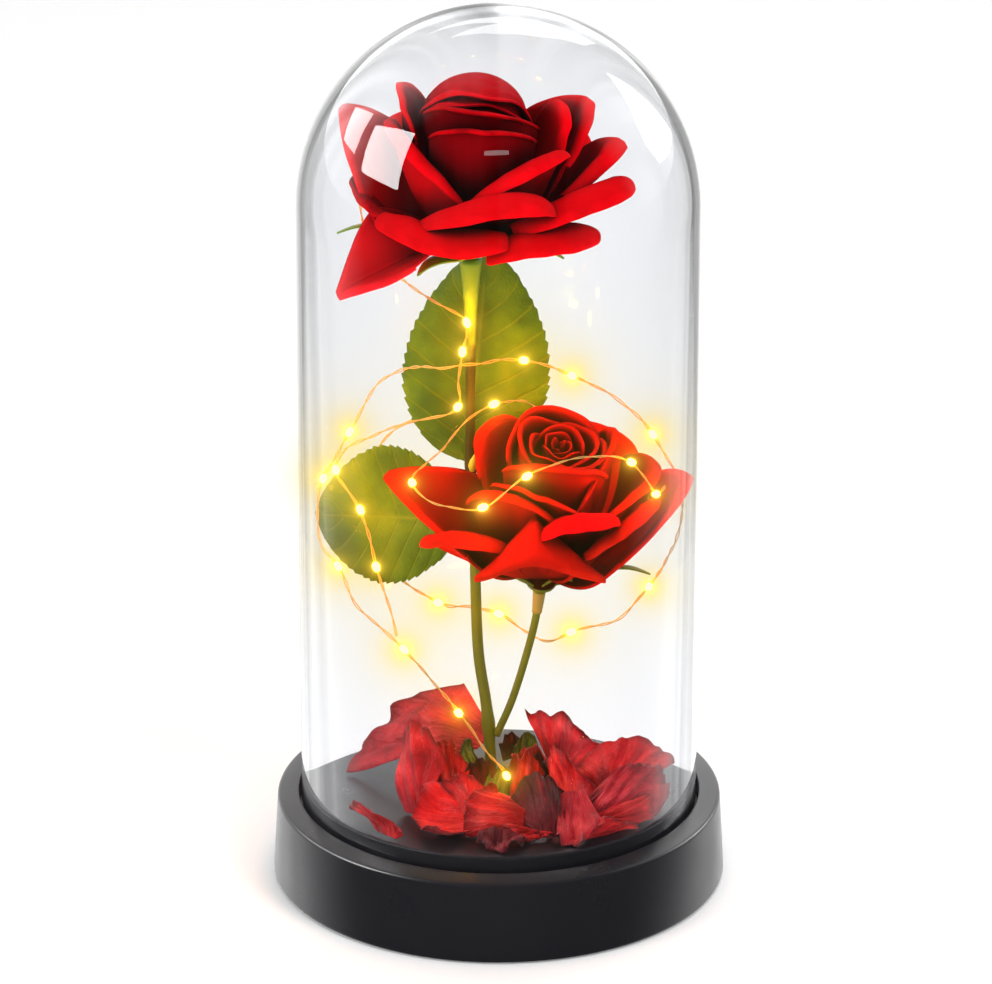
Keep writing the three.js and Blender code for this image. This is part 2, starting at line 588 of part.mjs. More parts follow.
const calyxForms = {
  upper: calyxSolid(CALYX.upper, HEAD_UPPER, AXES.upper),
  lower: calyxSolid(CALYX.lower, HEAD_LOWER, AXES.lower),
};
const calyxUpper = addCut('calyx_upper', calyxForms.upper, placedUpper, 'stem');
const calyxLower = addCut('calyx_lower', calyxForms.lower, placedLower, 'stem');

placedUpper.push({ body: calyxUpper, clear: calyxUpper });
placedLower.push({ body: calyxLower, clear: calyxLower });

// Leaves
// A serrated blade: u runs across, v from the stalk to the tip. side and face are unit vectors.
function leafPoint(leaf) {
  const axis = sub(leaf.tip, leaf.root);
  const side = unit(cross(axis, leaf.face));
  const face = unit(cross(side, axis));
  return (u, v) => {
    const w = Math.min(Math.max(v, 0), 1);
    const full = Math.max(Math.sin(Math.PI * Math.min(w ** leaf.fullness * 0.97 + 0.03, 1)), 0) ** 0.62;
    const half = Math.max(leaf.width * 0.5 * full, LEAF_TIP_HALF);
    const cup = leaf.cup * u * u + leaf.bow * Math.sin(Math.PI * w);
    return add(add(add(leaf.root, scale(axis, v)), scale(side, half * u)), scale(face, cup));
  };
}

const LEAVES = [
  {
    name: 'leaf_upper',
    root: [-7.5, 2.4, 112.5],
    tip: [-3, 9.5, 164],
    face: [0, -1, 0.12],
    width: 36.5,
    fullness: 0.8,
    cup: -2,
    bow: -2,
  },
  {
    name: 'leaf_left',
    root: [-8.6, 2.6, 97],
    tip: [-45, 7, 97],
    face: [0, -1, 0.1],
    width: 35,
    fullness: 1.1,
    cup: -2,
    bow: -1,
  },
];
LEAVES.forEach((leaf) => {
  const blade = solidOf(shell(leafPoint(leaf), 4, even(8), LEAF_THICK));
  addCut(leaf.name, blade, [...placedUpper, ...placedLower], 'leaf');
});
const leafBud = lathe([[0, 0], [0.9, 0.8], [1.1, 2.4], [0, 5.4]], 8);
addMesh('leaf_bud', place(leafBud, [-6.6, -2.1, 111.6], unit([0.1, -0.25, 1])), 'bud');

// Petals lying on the deck
const FALLEN = [
  { name: 'back_left', root: [-3, 6, 37], rim: [[-38, 13, 26], [-27, 25, 37], [-10, 20, 49]],
    belly: 4, cup: 3 },
  { name: 'left', root: [-20, -17, 26], rim: [[-26, -7.5, 33.5], [-21, -3, 46.5], [-14, -11, 39.5]],
    belly: 3, cup: 4 },
  { name: 'centre_left', root: [-12, -7, 28], rim: [[-16.5, -7, 37], [-13, -6, 43], [-7, -8, 35]],
    belly: 1, cup: 2 },
  { name: 'front_left', root: [-4.5, -28, 29], rim: [[-17.5, -16, 34.5], [-21, -29, 31], [-16, -42, 26]],
    belly: 3, cup: 3 },
  { name: 'front', root: [8.5, -29, 27.5], rim: [[-6.5, -35, 26.5], [-9, -30, 33.5], [-1, -22, 36]],
    belly: 4, cup: 4 },
  { name: 'dried_curl', root: [12.5, -35, 26], rim: [[1.5, -28, 34], [9, -24.5, 40], [17, -26.5, 34]],
    belly: 2, cup: 4 },
  { name: 'front_right', root: [18, -25.5, 35], rim: [[14, -38.5, 26.5], [19, -42, 26], [26, -35, 28]],
    belly: 2, cup: 3 },
  { name: 'right', root: [22.5, -22.5, 28.5], rim: [[31.5, -14, 39], [41, -15.5, 34.5], [39, -26, 27]],
    belly: 4, cup: 3 },
  { name: 'right_back', root: [28.5, -5, 26], rim: [[18, 3.5, 31], [32.5, 3.5, 39], [43, 2, 32]],
    belly: 4, cup: 3 },
  { name: 'back_right', root: [15, 16.5, 26], rim: [[6.5, 22.5, 39], [16, 23.5, 37.5], [25.5, 20, 30.5]],
    belly: 2, cup: 2 },
  { name: 'centre_right', root: [19.5, -20, 27], rim: [[11, -9.5, 33], [14.5, -9.5, 41], [23, -17.5, 33]],
    belly: 3, cup: 4 },
  { name: 'near_glass', root: [-27.5, -35.5, 26], rim: [[-36, -27, 29], [-32.5, -30.5, 32.5], [-24, -38, 28]],
    belly: -1, cup: 2 },
];

// Follows x above nought and fades to nought below it.
const softMax = (x) => (x + Math.sqrt(x * x + 1)) / 2;
const PETAL_FLOOR_Z = DECK_Z + GAP + FALLEN_THICK / 2 + 0.1;

function fallenPoint({ root, rim: [a, b, c], belly, cup }) {
  const control = sub(scale(b, 2), scale(add(a, c), 0.5));
  const normal = unit(cross(sub(c, a), sub(b, root)));
  const across = unit(sub(c, a));
  return (u, v) => {
    const t = (u + 1) / 2;
    const rim = add(add(scale(a, (1 - t) ** 2), scale(control, 2 * t * (1 - t))), scale(c, t * t));
    const foot = add(root, scale(across, 3 * u));
    const bow = belly * Math.sin(Math.PI * v) * (1 - 0.4 * u * u) - cup * u * u * v;
    const p = add(mix(foot, rim, v), scale(normal, bow));
    const inside = Math.min(DECK_PETAL_REACH / Math.max(Math.hypot(p[0], p[1]), 1), 1);
    return [p[0] * inside, p[1] * inside, PETAL_FLOOR_Z + softMax(p[2] - PETAL_FLOOR_Z)];
  };
}

const placedOnDeck = [...placedStems];
FALLEN.forEach((petal) => {
  const point = fallenPoint(petal);
  const sheet = solidOf(shell(point, 3, even(3), FALLEN_THICK));
  const clear = solidOf(shell(point, 3, even(3), FALLEN_THICK + 2 * CLEARANCE, 0.03));
  const finish = petal.name === 'dried_curl' ? 'fallenDark' : 'fallen';
  placedOnDeck.push({ body: addCut(`fallen_${petal.name}`, sheet, placedOnDeck, finish), clear });
});

export default group;
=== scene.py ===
"""A preserved rose arrangement under a clear glass bell, rebuilt for a product photograph.

Sizes are in millimetres inside the classes and turned into metres when a mesh is made.
"""
import logging
import math
from dataclasses import dataclass
from enum import Enum
from typing import Callable, Sequence

import bmesh
import bpy
from mathutils import Matrix, Vector, noise


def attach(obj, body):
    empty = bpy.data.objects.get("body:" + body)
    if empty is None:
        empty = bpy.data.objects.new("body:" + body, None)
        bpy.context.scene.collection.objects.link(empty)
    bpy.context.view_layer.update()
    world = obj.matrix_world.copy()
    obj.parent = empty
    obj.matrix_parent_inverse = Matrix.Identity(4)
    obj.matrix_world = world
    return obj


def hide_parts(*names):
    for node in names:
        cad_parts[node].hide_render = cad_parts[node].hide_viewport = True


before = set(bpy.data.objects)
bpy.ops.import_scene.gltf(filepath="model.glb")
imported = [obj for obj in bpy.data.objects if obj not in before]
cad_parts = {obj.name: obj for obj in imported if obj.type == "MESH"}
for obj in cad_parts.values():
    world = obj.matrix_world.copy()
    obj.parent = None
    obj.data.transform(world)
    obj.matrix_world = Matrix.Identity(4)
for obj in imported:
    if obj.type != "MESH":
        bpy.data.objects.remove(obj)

LOG = logging.getLogger("rose_dome")
MM = 0.001
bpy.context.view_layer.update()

UP = Vector((0, 0, 1))
WHITE = (1.0, 1.0, 1.0, 1.0)
BLACK = (0.0, 0.0, 0.0, 1.0)
# The two families of nodes: those of materials and those that grade the picture.
SURFACE = "Shader"
PICTURE = "Compositor"
# The UV map that holds the place on a sheet.
SHEET_UV = "sheet"
# The leaf's side ribs, which are both printed and pressed: their number, and how far they lean to the tip.
LEAF_RIBS = 8.0
RIB_LEAN = 0.2
# Radius, height and rounding of each corner of a flower's heart, from the cup up into the bud.
HEART = ((0, 2.7, 0), (3.6, 2.7, 0.4), (4.4, 6.5, 1.0), (3.4, 12.5, 1.0), (0, 12.5, 0))
# Faces across and along each kind of sheet.
LEAF_COLUMNS = 22
PETAL_GRID = (28, 34)
WRAP_GRID = (34, 26)
BONNET_GRID = (36, 64)
SEPAL_GRID = (8, 16)
FALLEN_GRID = (36, 30)

Point = Callable[[float, float], Vector]
Triple = tuple[float, float, float]
Colour = tuple[float, float, float, float]
BMesh = bmesh.types.BMesh
Socket = bpy.types.NodeSocket
Value = Socket | float | Sequence[float]


# Colour and nodes
def linear(code: str) -> Colour:
    """Turns an sRGB hex colour into linear RGBA.

    Args:
        code: six hex digits.

    Returns:
        The linear colour with full alpha.
    """
    channels = [int(code[i:i + 2], 16) / 255 for i in (0, 2, 4)]
    values = [c / 12.92 if c <= 0.04045 else ((c + 0.055) / 1.055) ** 2.4 for c in channels]
    return (values[0], values[1], values[2], 1.0)


@dataclass
class Graph:
    """A node tree with short calls that add to it. Each call takes plain values or other nodes' outputs."""

    tree: bpy.types.NodeTree
    family: str = SURFACE

    def feed(self, socket: Socket, value: Value) -> None:
        """Gives a socket its value or its link.

        Args:
            socket: the socket that is fed.
            value: what feeds it.
        """
        if isinstance(value, Socket):
            self.tree.links.new(value, socket)
        else:
            socket.default_value = value

    def add(self, kind: str, inputs: dict[str | int, Value] | None = None, **settings) -> bpy.types.Node:
        """Adds one node.

        Args:
            kind: the node's type, without the name of its family.
            inputs: name or index of each socket, and what feeds it.
            **settings: attributes set on the node.

        Returns:
            The new node.
        """
        node = self.tree.nodes.new(f"{self.family}Node{kind}")
        for name, value in settings.items():
            setattr(node, name, value)
        for key, value in (inputs or {}).items():
            self.feed(node.inputs[key], value)
        return node

    def math(self, operation: str, *values: Value) -> Socket:
        """Adds a math node.

        Args:
            operation: the operation's name.
            *values: what it works on, in order.

        Returns:
            The result.
        """
        return self.add("Math", dict(enumerate(values)), operation=operation).outputs[0]

    def mix(self, factor: Value, first: Value, second: Value, blend: str = "MIX") -> Socket:
        """Mixes two colours, of a material or of the picture.

        Args:
            factor: how much of the second is used, 0 to 1.
            first: the first colour.
            second: the second colour.
            blend: how they are mixed.

        Returns:
            The mixed colour.
        """
        if self.family == PICTURE:
            return self.add("MixRGB", {0: factor, 1: first, 2: second}, blend_type=blend).outputs[0]
        node = self.add("Mix", {0: factor, 6: first, 7: second}, data_type="RGBA", blend_type=blend)
        return node.outputs[2]

    def ramp(self, factor: Socket, stops: Sequence[tuple[float, str]]) -> Socket:
        """Adds a colour ramp.

        Args:
            factor: the value that drives the ramp.
            stops: position and hex colour of each stop.

        Returns:
            The ramp's colour.
        """
        node = self.add("ValToRGB", {"Fac": factor})
        elements = node.color_ramp.elements
        while len(elements) < len(stops):
            elements.new(0.5)
        for element, (position, code) in zip(elements, stops):
            element.position = position
            element.color = linear(code)
        return node.outputs["Color"]

    def noise(self, place: Socket, scale: float, detail: float, **more: float) -> Socket:
        """Adds a noise texture.

        Args:
            place: where it is read.
            scale: how many grains there are to the metre.
            detail: how many finer layers it has.
            **more: other sockets and their values.

        Returns:
            The noise's value.
        """
        sockets = {"Vector": place, "Scale": scale, "Detail": detail, **more}
        return self.add("TexNoise", sockets).outputs["Fac"]

    def ranged(self, value: Socket, low: float, high: float, to_low: float = 0.0,
               to_high: float = 1.0) -> Socket:
        """Maps one range of values to another and holds it at the ends.

        Args:
            value: the value that is mapped.
            low: where its range starts.
            high: where its range ends.
            to_low: the result at the start.
            to_high: the result at the end.

        Returns:
            The mapped value.
        """
        return self.add("MapRange", {"Value": value, "From Min": low, "From Max": high, "To Min": to_low,
                                     "To Max": to_high}).outputs[0]

    def place(self) -> Socket:
        """Reads the place on the object.

        Returns:
            The place in metres.
        """
        return self.add("TexCoord").outputs["Object"]

    def sheet(self) -> tuple[Socket, Socket]:
        """Reads the place on a sheet.

        Returns:
            The place across and the place along, each from 0 to 1.
        """
        uv = self.add("UVMap", uv_map=SHEET_UV)
        parts = self.add("SeparateXYZ", {0: uv.outputs[0]}).outputs
        return parts["X"], parts["Y"]

    def bump(self, shader: bpy.types.Node, height: Socket, distance_mm: float, strength: float) -> None:
        """Feeds a height into a shader's normal.

        Args:
            shader: the shader.
            height: the height.
            distance_mm: full height of the relief in millimetres.
            strength: how much of it is used.
        """
        node = self.add("Bump", {"Height": height, "Distance": distance_mm * MM, "Strength": strength})
        self.feed(shader.inputs["Normal"], node.outputs["Normal"])


def new_material(name: str, **sockets) -> tuple[bpy.types.Material, Graph, bpy.types.Node]:
    """Makes a material with a Principled shader.

    Args:
        name: the material's name.
        **sockets: plain values of the shader's sockets, with _ for each space in a socket's name.

    Returns:
        The material, its graph and the shader.
    """
    material = bpy.data.materials.new(name)
    material.use_nodes = True
    shader = material.node_tree.nodes["Principled BSDF"]
    for socket, value in sockets.items():
        shader.inputs[socket.replace("_", " ")].default_value = value
    return material, Graph(material.node_tree), shader


# Finishes
@dataclass(frozen=True)
class Velvet:
    """Flocked cloth: short pile that glows at grazing angles, with painted shade in its folds and at each
    petal's foot and a painted highlight along its rim.
    """

    name: str
    # Colours at the petal's foot, of its body and at its rim: the foot's is painted shade and the rim's is a
    # painted highlight.
    root: str
    body: str
    edge: str
    sheen: str
    patch_scale: float = 160.0
    pile_scale: float = 5200.0
    soft_scale: float = 420.0
    painted_shade_reach: float = 0.009
    relief_mm: float = 0.12

    def material(self) -> bpy.types.Material:
        """Builds the cloth.

        Returns:
            The material.
        """
        material, graph, shader = new_material(
            self.name, Roughness=0.9, Specular_IOR_Level=0.03, Sheen_Weight=0.08, Sheen_Roughness=0.45,
            Sheen_Tint=linear(self.sheen))
        _across, along = graph.sheet()
        place = graph.place()
        # Broad patches where the pile lies another way, about 6 mm across.
        shift = graph.math("MULTIPLY_ADD", graph.noise(place, self.patch_scale, 3.0), 0.22, -0.11)
        height = graph.math("ADD", along, shift)
        # Painted shade towards the petal's foot, deep in the flower, and a painted highlight along its rim.
        stops = [(0.05, self.root), (0.5, self.body), (0.94, self.body), (1.0, self.edge)]
        colour = graph.ramp(height, stops)
        # Painted shade: where ambient occlusion finds other petals close by, the colour darkens towards the
        # root colour.
        near = graph.add("AmbientOcclusion", {"Distance": self.painted_shade_reach}, samples=6)
        painted_fold_shade = graph.math("POWER", near.outputs["AO"], 1.6)
        shaded = graph.mix(painted_fold_shade, linear(self.root), colour)
        graph.feed(shader.inputs["Base Color"], shaded)
        # The pile itself: fibres of about 0.2 mm.
        pile = graph.noise(place, self.pile_scale, 2.0)
        soft = graph.noise(place, self.soft_scale, 2.0)
        graph.bump(shader, graph.math("MULTIPLY_ADD", soft, 1.4, pile), self.relief_mm, 0.5)
        return material


@dataclass(frozen=True)
class DriedPetal:
    """A thin dried petal: dusty colour, veins fanning from the foot, darker crinkled rim."""

    name: str
    deep: str
    body: str
    pale: str
    rim: str
    blotch_scale: float = 120.0
    crinkle_scale: float = 700.0
    vein_turns: float = 88.0
    fine_turns: float = 205.0
    relief_mm: float = 0.25

    def material(self) -> bpy.types.Material:
        """Builds the petal's skin.

        Returns:
            The material.
        """
        material, graph, shader = new_material(self.name, Roughness=0.65, Specular_IOR_Level=0.2,
                                              Sheen_Weight=0.05)
        straight, along = graph.sheet()
        place = graph.place()
        blotch = graph.noise(place, self.blotch_scale, 4.0, Roughness=0.6)
        body = graph.ramp(blotch, [(0.3, self.deep), (0.5, self.body), (0.72, self.pale)])
        # Veins: about fourteen fine ribs across the petal, bent a little by the blotches.
        across = graph.math("MULTIPLY_ADD", blotch, 0.3, straight)
        wave = graph.math("SINE", graph.math("MULTIPLY", across, self.vein_turns))
        fine = graph.math("SINE", graph.math("MULTIPLY", across, self.fine_turns))
        ribs = graph.math("MULTIPLY_ADD", fine, 0.4, wave)
        vein = graph.math("SMOOTH_MIN", graph.math("MAXIMUM", ribs, 0.0), 1.0, 0.4)
        veined = graph.mix(graph.math("MULTIPLY", vein, 0.2), body, linear(self.deep))
        # The rim has dried unevenly: a dark, ragged border of one to three millimetres.
        border = graph.math("MULTIPLY_ADD", blotch, 0.42, along)
        rim = graph.ranged(border, 1.06, 1.24, to_high=0.85)
        colour = graph.mix(rim, veined, linear(self.rim))
        graph.feed(shader.inputs["Base Color"], colour)
        crinkle = graph.noise(place, self.crinkle_scale, 3.0)
        graph.bump(shader, graph.math("MULTIPLY_ADD", ribs, 0.35, crinkle), self.relief_mm, 0.7)
        return material


@dataclass(frozen=True)
class LeafCloth:
    """Printed leaf cloth: green with paler ribs pressed into it."""

    name: str
    dark: str
    body: str
    light: str
    rib: str
    tone_scale: float = 70.0
    cell_scale: float = 950.0
    rib_share: float = 0.22
    relief_mm: float = 0.25

    def material(self) -> bpy.types.Material:
        """Builds the leaf's skin. u runs across the blade and v from stalk to tip.

        Returns:
            The material.
        """
        material, graph, shader = new_material(self.name, Roughness=0.55, Specular_IOR_Level=0.25)
        across, along = graph.sheet()
        place = graph.place()
        tone = graph.noise(place, self.tone_scale, 3.0)
        body = graph.ramp(tone, [(0.3, self.dark), (0.52, self.body), (0.75, self.light)])
        side = graph.math("ABSOLUTE", graph.math("MULTIPLY_ADD", across, 2.0, -1.0))
        # Side ribs leave the midrib every eighth of the length and lean towards the tip.
        climb = graph.math("SUBTRACT", along, graph.math("MULTIPLY", side, RIB_LEAN))
        teeth = graph.math("FRACT", graph.math("MULTIPLY", climb, LEAF_RIBS))
        off = graph.math("ABSOLUTE", graph.math("SUBTRACT", teeth, 0.5))
        rib = graph.math("SUBTRACT", 1.0, graph.math("MULTIPLY", off, 14.0))
        midrib = graph.math("SUBTRACT", 1.0, graph.math("MULTIPLY", side, 26.0))
        lines = graph.math("MAXIMUM", graph.math("MAXIMUM", rib, midrib), 0.0)
        # A fine net of cells between the ribs, about 1 mm each.
        cells = graph.add("TexVoronoi", {"Vector": place, "Scale": self.cell_scale},
                          feature="DISTANCE_TO_EDGE")
        net = graph.math("MULTIPLY", cells.outputs["Distance"], 2.5)
        shade = graph.mix(graph.math("MULTIPLY", lines, self.rib_share), body, linear(self.rib))
        graph.feed(shader.inputs["Base Color"], shade)
        relief = graph.math("SUBTRACT", graph.math("MULTIPLY", net, 0.5), lines)
        graph.bump(shader, relief, self.relief_mm, 0.8)
        return material


@dataclass(frozen=True)
class StemPlastic:
    """Moulded stem: olive below, a darker brown-green band between the flowers that is partly its own colour
    and partly painted shade under the upper rose, fresh green at the top.

    The two heights between which its colour changes are in metres.
    """

    name: str
    foot: str
    body: str
    wrap: str
    top: str
    foot_z: float = 0.025
    top_z: float = 0.165
    streak_scale: float = 300.0
    relief_mm: float = 0.15

    def material(self) -> bpy.types.Material:
        """Builds the stem's skin, coloured by height, with painted shade in the band between the flowers.

        Returns:
            The material.
        """
        material, graph, shader = new_material(self.name, Roughness=0.42)
        place = graph.place()
        parts = graph.add("SeparateXYZ", {0: place})
        height = graph.ranged(parts.outputs["Z"], self.foot_z, self.top_z)
        streak = graph.noise(place, self.streak_scale, 3.0)
        level = graph.math("MULTIPLY_ADD", streak, 0.2, height)
        # The darker band between the flowers is partly the stem's brown-green and partly painted shade under
        # the upper rose.
        colour = graph.ramp(level, [(0.1, self.foot), (0.5, self.body), (0.74, self.wrap), (0.92, self.wrap),
                                    (1.06, self.top)])
        graph.feed(shader.inputs["Base Color"], colour)
        graph.bump(shader, streak, self.relief_mm, 0.6)
        return material


@dataclass(frozen=True)
class Moulding:
    """Black moulded plastic with a fine spark-eroded grain."""

    name: str
    colour: str
    roughness: float
    grain: float
    grain_scale: float = 3200.0
    wear_scale: float = 60.0
    relief_mm: float = 0.02

    def material(self) -> bpy.types.Material:
        """Builds the plastic.

        Returns:
            The material.
        """
        material, graph, shader = new_material(self.name, Base_Color=linear(self.colour), IOR=1.5)
        place = graph.place()
        grain = graph.noise(place, self.grain_scale, 2.0)
        wear = graph.noise(place, self.wear_scale, 4.0)
        rough = graph.ranged(wear, 0.3, 0.7, self.roughness - 0.04, self.roughness + 0.05)
        graph.feed(shader.inputs["Roughness"], rough)
        graph.bump(shader, grain, self.relief_mm, self.grain)
        return material


@dataclass(frozen=True)
class ClearGlass:
    """Clear blown glass with a faint cool tint."""

    name: str
    tint: str

    def material(self) -> bpy.types.Material:
        """Builds the glass.

        Returns:
            The material.
        """
        return new_material(self.name, Base_Color=linear(self.tint), Roughness=0.0, IOR=1.45,
                            Transmission_Weight=1.0)[0]


@dataclass(frozen=True)
class BareMetal:
    """Drawn copper wire under clear yellow enamel."""

    name: str
    colour: str

    def material(self) -> bpy.types.Material:
        """Builds the metal.

        Returns:
            The material.
        """
        return new_material(self.name, Base_Color=linear(self.colour), Metallic=0.5, Roughness=0.35)[0]


@dataclass(frozen=True)
class LitResin:
    """A resin droplet with a lit lamp inside: it gives off its own warm light."""

    name: str
    colour: str
    strength: float

    def material(self) -> bpy.types.Material:
        """Builds the lamp.

        Returns:
            The material.
        """
        return new_material(self.name, Base_Color=linear(self.colour), Roughness=0.2,
                            Emission_Color=linear(self.colour), Emission_Strength=self.strength)[0]


class Finish(Enum):
    """Every finish on the object."""

    VELVET_UPPER = Velvet("velvet_deep_red", "2c0003", "d20009", "ea000d", "ff1028")
    VELVET_LOWER = Velvet("velvet_warm_red", "4e0402", "bc0e06", "d2180a", "ff2010")
    # A lighter copy of the upper velvet for one petal: painted light.
    VELVET_PAINTED_LIT = Velvet("velvet_painted_light_red", "5a0008", "f2161e", "ff2430", "ff1028")
    # A darker copy of the upper velvet for the closed middle: painted shade.
    VELVET_BONNET_SHADE = Velvet("velvet_bonnet_painted_shade", "2c0003", "b0000c", "de0012", "ff1028")
    # A darker copy of the velvet for petals and the heart that lie in shade: painted shade.
    VELVET_SHADE = Velvet("velvet_painted_shade_red", "1c0002", "800006", "cc000a", "ff1028")
    PETAL_FALLEN = DriedPetal("petal_dusty_red", "7a0a16", "aa1a26", "ca3e46", "56060c")
    PETAL_RED = DriedPetal("petal_bright_red", "8a0810", "be141a", "da3e3a", "5e040a")
    PETAL_DARK = DriedPetal("petal_maroon", "2a020a", "580612", "8e1424", "180206")
    PETAL_GREEN = DriedPetal("sepal_dried_green", "34400a", "68741c", "94984a", "241c06")
    LEAF = LeafCloth("leaf_cloth_green", "305404", "4a7006", "6c8a0a", "8ea022")
    STEM = StemPlastic("stem_moulded_green", "4c5206", "667406", "2e3006", "6c981a")
    BUD = StemPlastic("bud_pale_green", "a0ac20", "a0ac20", "b4be30", "b4be30")
    FERRULE = StemPlastic("ferrule_tan", "a08a3c", "a08a3c", "a08a3c", "a08a3c")
    BASE = Moulding("base_satin_black", "1a1a1f", 0.3, 0.3)
    DECK = Moulding("cover_matte_black", "232328", 0.5, 0.5)
    GLASS = ClearGlass("dome_clear_glass", "fbfcfe")
    WIRE = BareMetal("wire_golden_copper", "f2c878")
    LAMP = LitResin("lamp_warm_resin", "ffbe3c", 26.0)

    def material(self) -> bpy.types.Material:
        """Gives the finish's material and makes it on first use.

        Returns:
            The material.
        """
        found = bpy.data.materials.get(self.value.name)
        return found or self.value.material()


# Mesh helpers
def new_object(mesh: BMesh, name: str, material: bpy.types.Material) -> bpy.types.Object:
    """Turns a bmesh into an object of the scene.

    Args:
        mesh: the bmesh, which is freed.
        name: the object's name.
        material: its material.

    Returns:
        The object.
    """
    data = bpy.data.meshes.new(name)
    mesh.to_mesh(data)
    mesh.free()
    data.materials.append(material)
    thing = bpy.data.objects.new(name, data)
    bpy.context.scene.collection.objects.link(thing)
    return thing


def new_light(name: str, kind: str, at: Sequence[float], power: float, **settings) -> bpy.types.Object:
    """Hangs a light that isn't seen in mirrors or through glass.

    Args:
        name: the light's name.
        kind: POINT or AREA.
        at: its place in metres.
        power: watts.
        **settings: attributes set on the light.

    Returns:
        The light's object.
    """
    light = bpy.data.lights.new(name, kind)
    light.energy = power
    for key, value in settings.items():
        setattr(light, key, value)
    holder = bpy.data.objects.new(name, light)
    holder.location = at
    holder.visible_glossy = False
    holder.visible_transmission = False
    bpy.context.scene.collection.objects.link(holder)
    return holder


def finish_piece(mesh: BMesh, name: str, finish: Finish, node: str | None, slot: str) -> bpy.types.Object:
    """Turns a bmesh in millimetres into a finished piece of the object.

    Args:
        mesh: the bmesh, which is freed.
        name: the piece's name.
        finish: its finish.
        node: the CAD node that it stands for, or None.
        slot: the record's material slot; not used.

    Returns:
        The piece.
    """
    bmesh.ops.scale(mesh, vec=(MM, MM, MM), verts=mesh.verts)
    for face in mesh.faces:
        face.smooth = True
    piece = new_object(mesh, name, finish.material())
    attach(piece, "root")
    if node:
        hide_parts(node)
    LOG.info("piece %s: %d faces", name, len(piece.data.polygons))
    return piece


def sheet_mesh(point: Point, columns: int, rows: int, thick: float) -> BMesh:
    """Makes a closed cloth-like sheet from a surface function.

    Args:
        point: gives the surface at u from -1 to 1 across and v from 0 to 1 along.
        columns: faces across.
        rows: faces along.
        thick: the sheet's thickness in millimetres.

    Returns:
        The bmesh, with a UV map named sheet that holds u and v as 0 to 1.
    """
    mesh = bmesh.new()
    bmesh.ops.create_grid(mesh, x_segments=columns, y_segments=rows, size=1.0)
    layer = mesh.loops.layers.uv.new(SHEET_UV)
    for face in mesh.faces:
        for loop in face.loops:
            loop[layer].uv = ((loop.vert.co.x + 1) / 2, (loop.vert.co.y + 1) / 2)
    spots = {vert: ((vert.co.x + 1) / 2, (vert.co.y + 1) / 2) for vert in mesh.verts}
    for vert in mesh.verts:
        vert.co = point(vert.co.x, (vert.co.y + 1) / 2)
    mesh.normal_update()
    normals = {vert: vert.normal.copy() for vert in mesh.verts}
    front = mesh.faces[:]
    copied = bmesh.ops.duplicate(mesh, geom=mesh.verts[:] + mesh.edges[:] + front)
    twin = copied["vert_map"]
    back = [item for item in copied["geom"] if isinstance(item, bmesh.types.BMFace)]
    bmesh.ops.reverse_faces(mesh, faces=back)
    for vert, normal in normals.items():
        spots[twin[vert]] = spots[vert]
        twin[vert].co = vert.co - normal * thick / 2
        vert.co = vert.co + normal * thick / 2
    wall = bmesh.ops.bridge_loops(mesh, edges=[edge for edge in mesh.edges if edge.is_boundary])["faces"]
    for face in wall:
        for loop in face.loops:
            loop[layer].uv = spots[loop.vert]
    bmesh.ops.recalc_face_normals(mesh, faces=mesh.faces)
    rims = {edge for face in wall for edge in face.edges
            if not all(near in wall for near in edge.link_faces)}
    bmesh.ops.bevel(mesh, geom=list(rims), offset=thick * 0.3, segments=2, profile=0.5, affect="EDGES",
                    material=-1, clamp_overlap=True)
    return mesh


def join_into(mesh: BMesh, other: BMesh) -> None:
    """Adds one bmesh to another.

    Args:
        mesh: the bmesh that grows.
        other: the bmesh that is added and freed.
    """
    data = bpy.data.meshes.new("part")
    other.to_mesh(data)
    other.free()
    mesh.from_mesh(data)
    bpy.data.meshes.remove(data)


def joined_sheets(points: Sequence[Point], grid: tuple[int, int], thick: float) -> BMesh:
    """Makes one bmesh of several sheets.

    Args:
        points: the surface of each sheet.
        grid: faces across and along each sheet.
        thick: thickness in millimetres.

    Returns:
        The bmesh.
    """
    mesh = bmesh.new()
    mesh.loops.layers.uv.new(SHEET_UV)
    for point in points:
        join_into(mesh, sheet_mesh(point, *grid, thick))
    return mesh


def place_along(mesh: BMesh, at: Sequence[float], axis: Sequence[float]) -> None:
    """Turns a mesh that was made round the Z axis, and moves it.

    Args:
        mesh: the bmesh.
        at: where its origin goes.
        axis: where its Z axis points.
    """
    turn = UP.rotation_difference(Vector(axis)).to_matrix().to_4x4()
    bmesh.ops.transform(mesh, matrix=Matrix.Translation(Vector(at)) @ turn, verts=mesh.verts)


def tangent_at(line: Sequence[Vector], index: int) -> Vector:
    """Gives the direction of a line at one of its points.

    Args:
        line: the line's points.
        index: the point's place among them.

    Returns:
        The direction, one long.
    """
    return (line[min(index + 1, len(line) - 1)] - line[max(index - 1, 0)]).normalized()


def arc_point(a: Vector, b: Vector, c: Vector, t: float) -> Vector:
    """Gives a point of the arc that starts at a, passes b halfway and ends at c.

    Args:
        a: where it starts.
        b: its middle.
        c: where it ends.
        t: 0 at a to 1 at c.

    Returns:
        The point.
    """
    control = b * 2 - (a + c) / 2
    return a * (1 - t) ** 2 + control * (2 * t * (1 - t)) + c * t * t


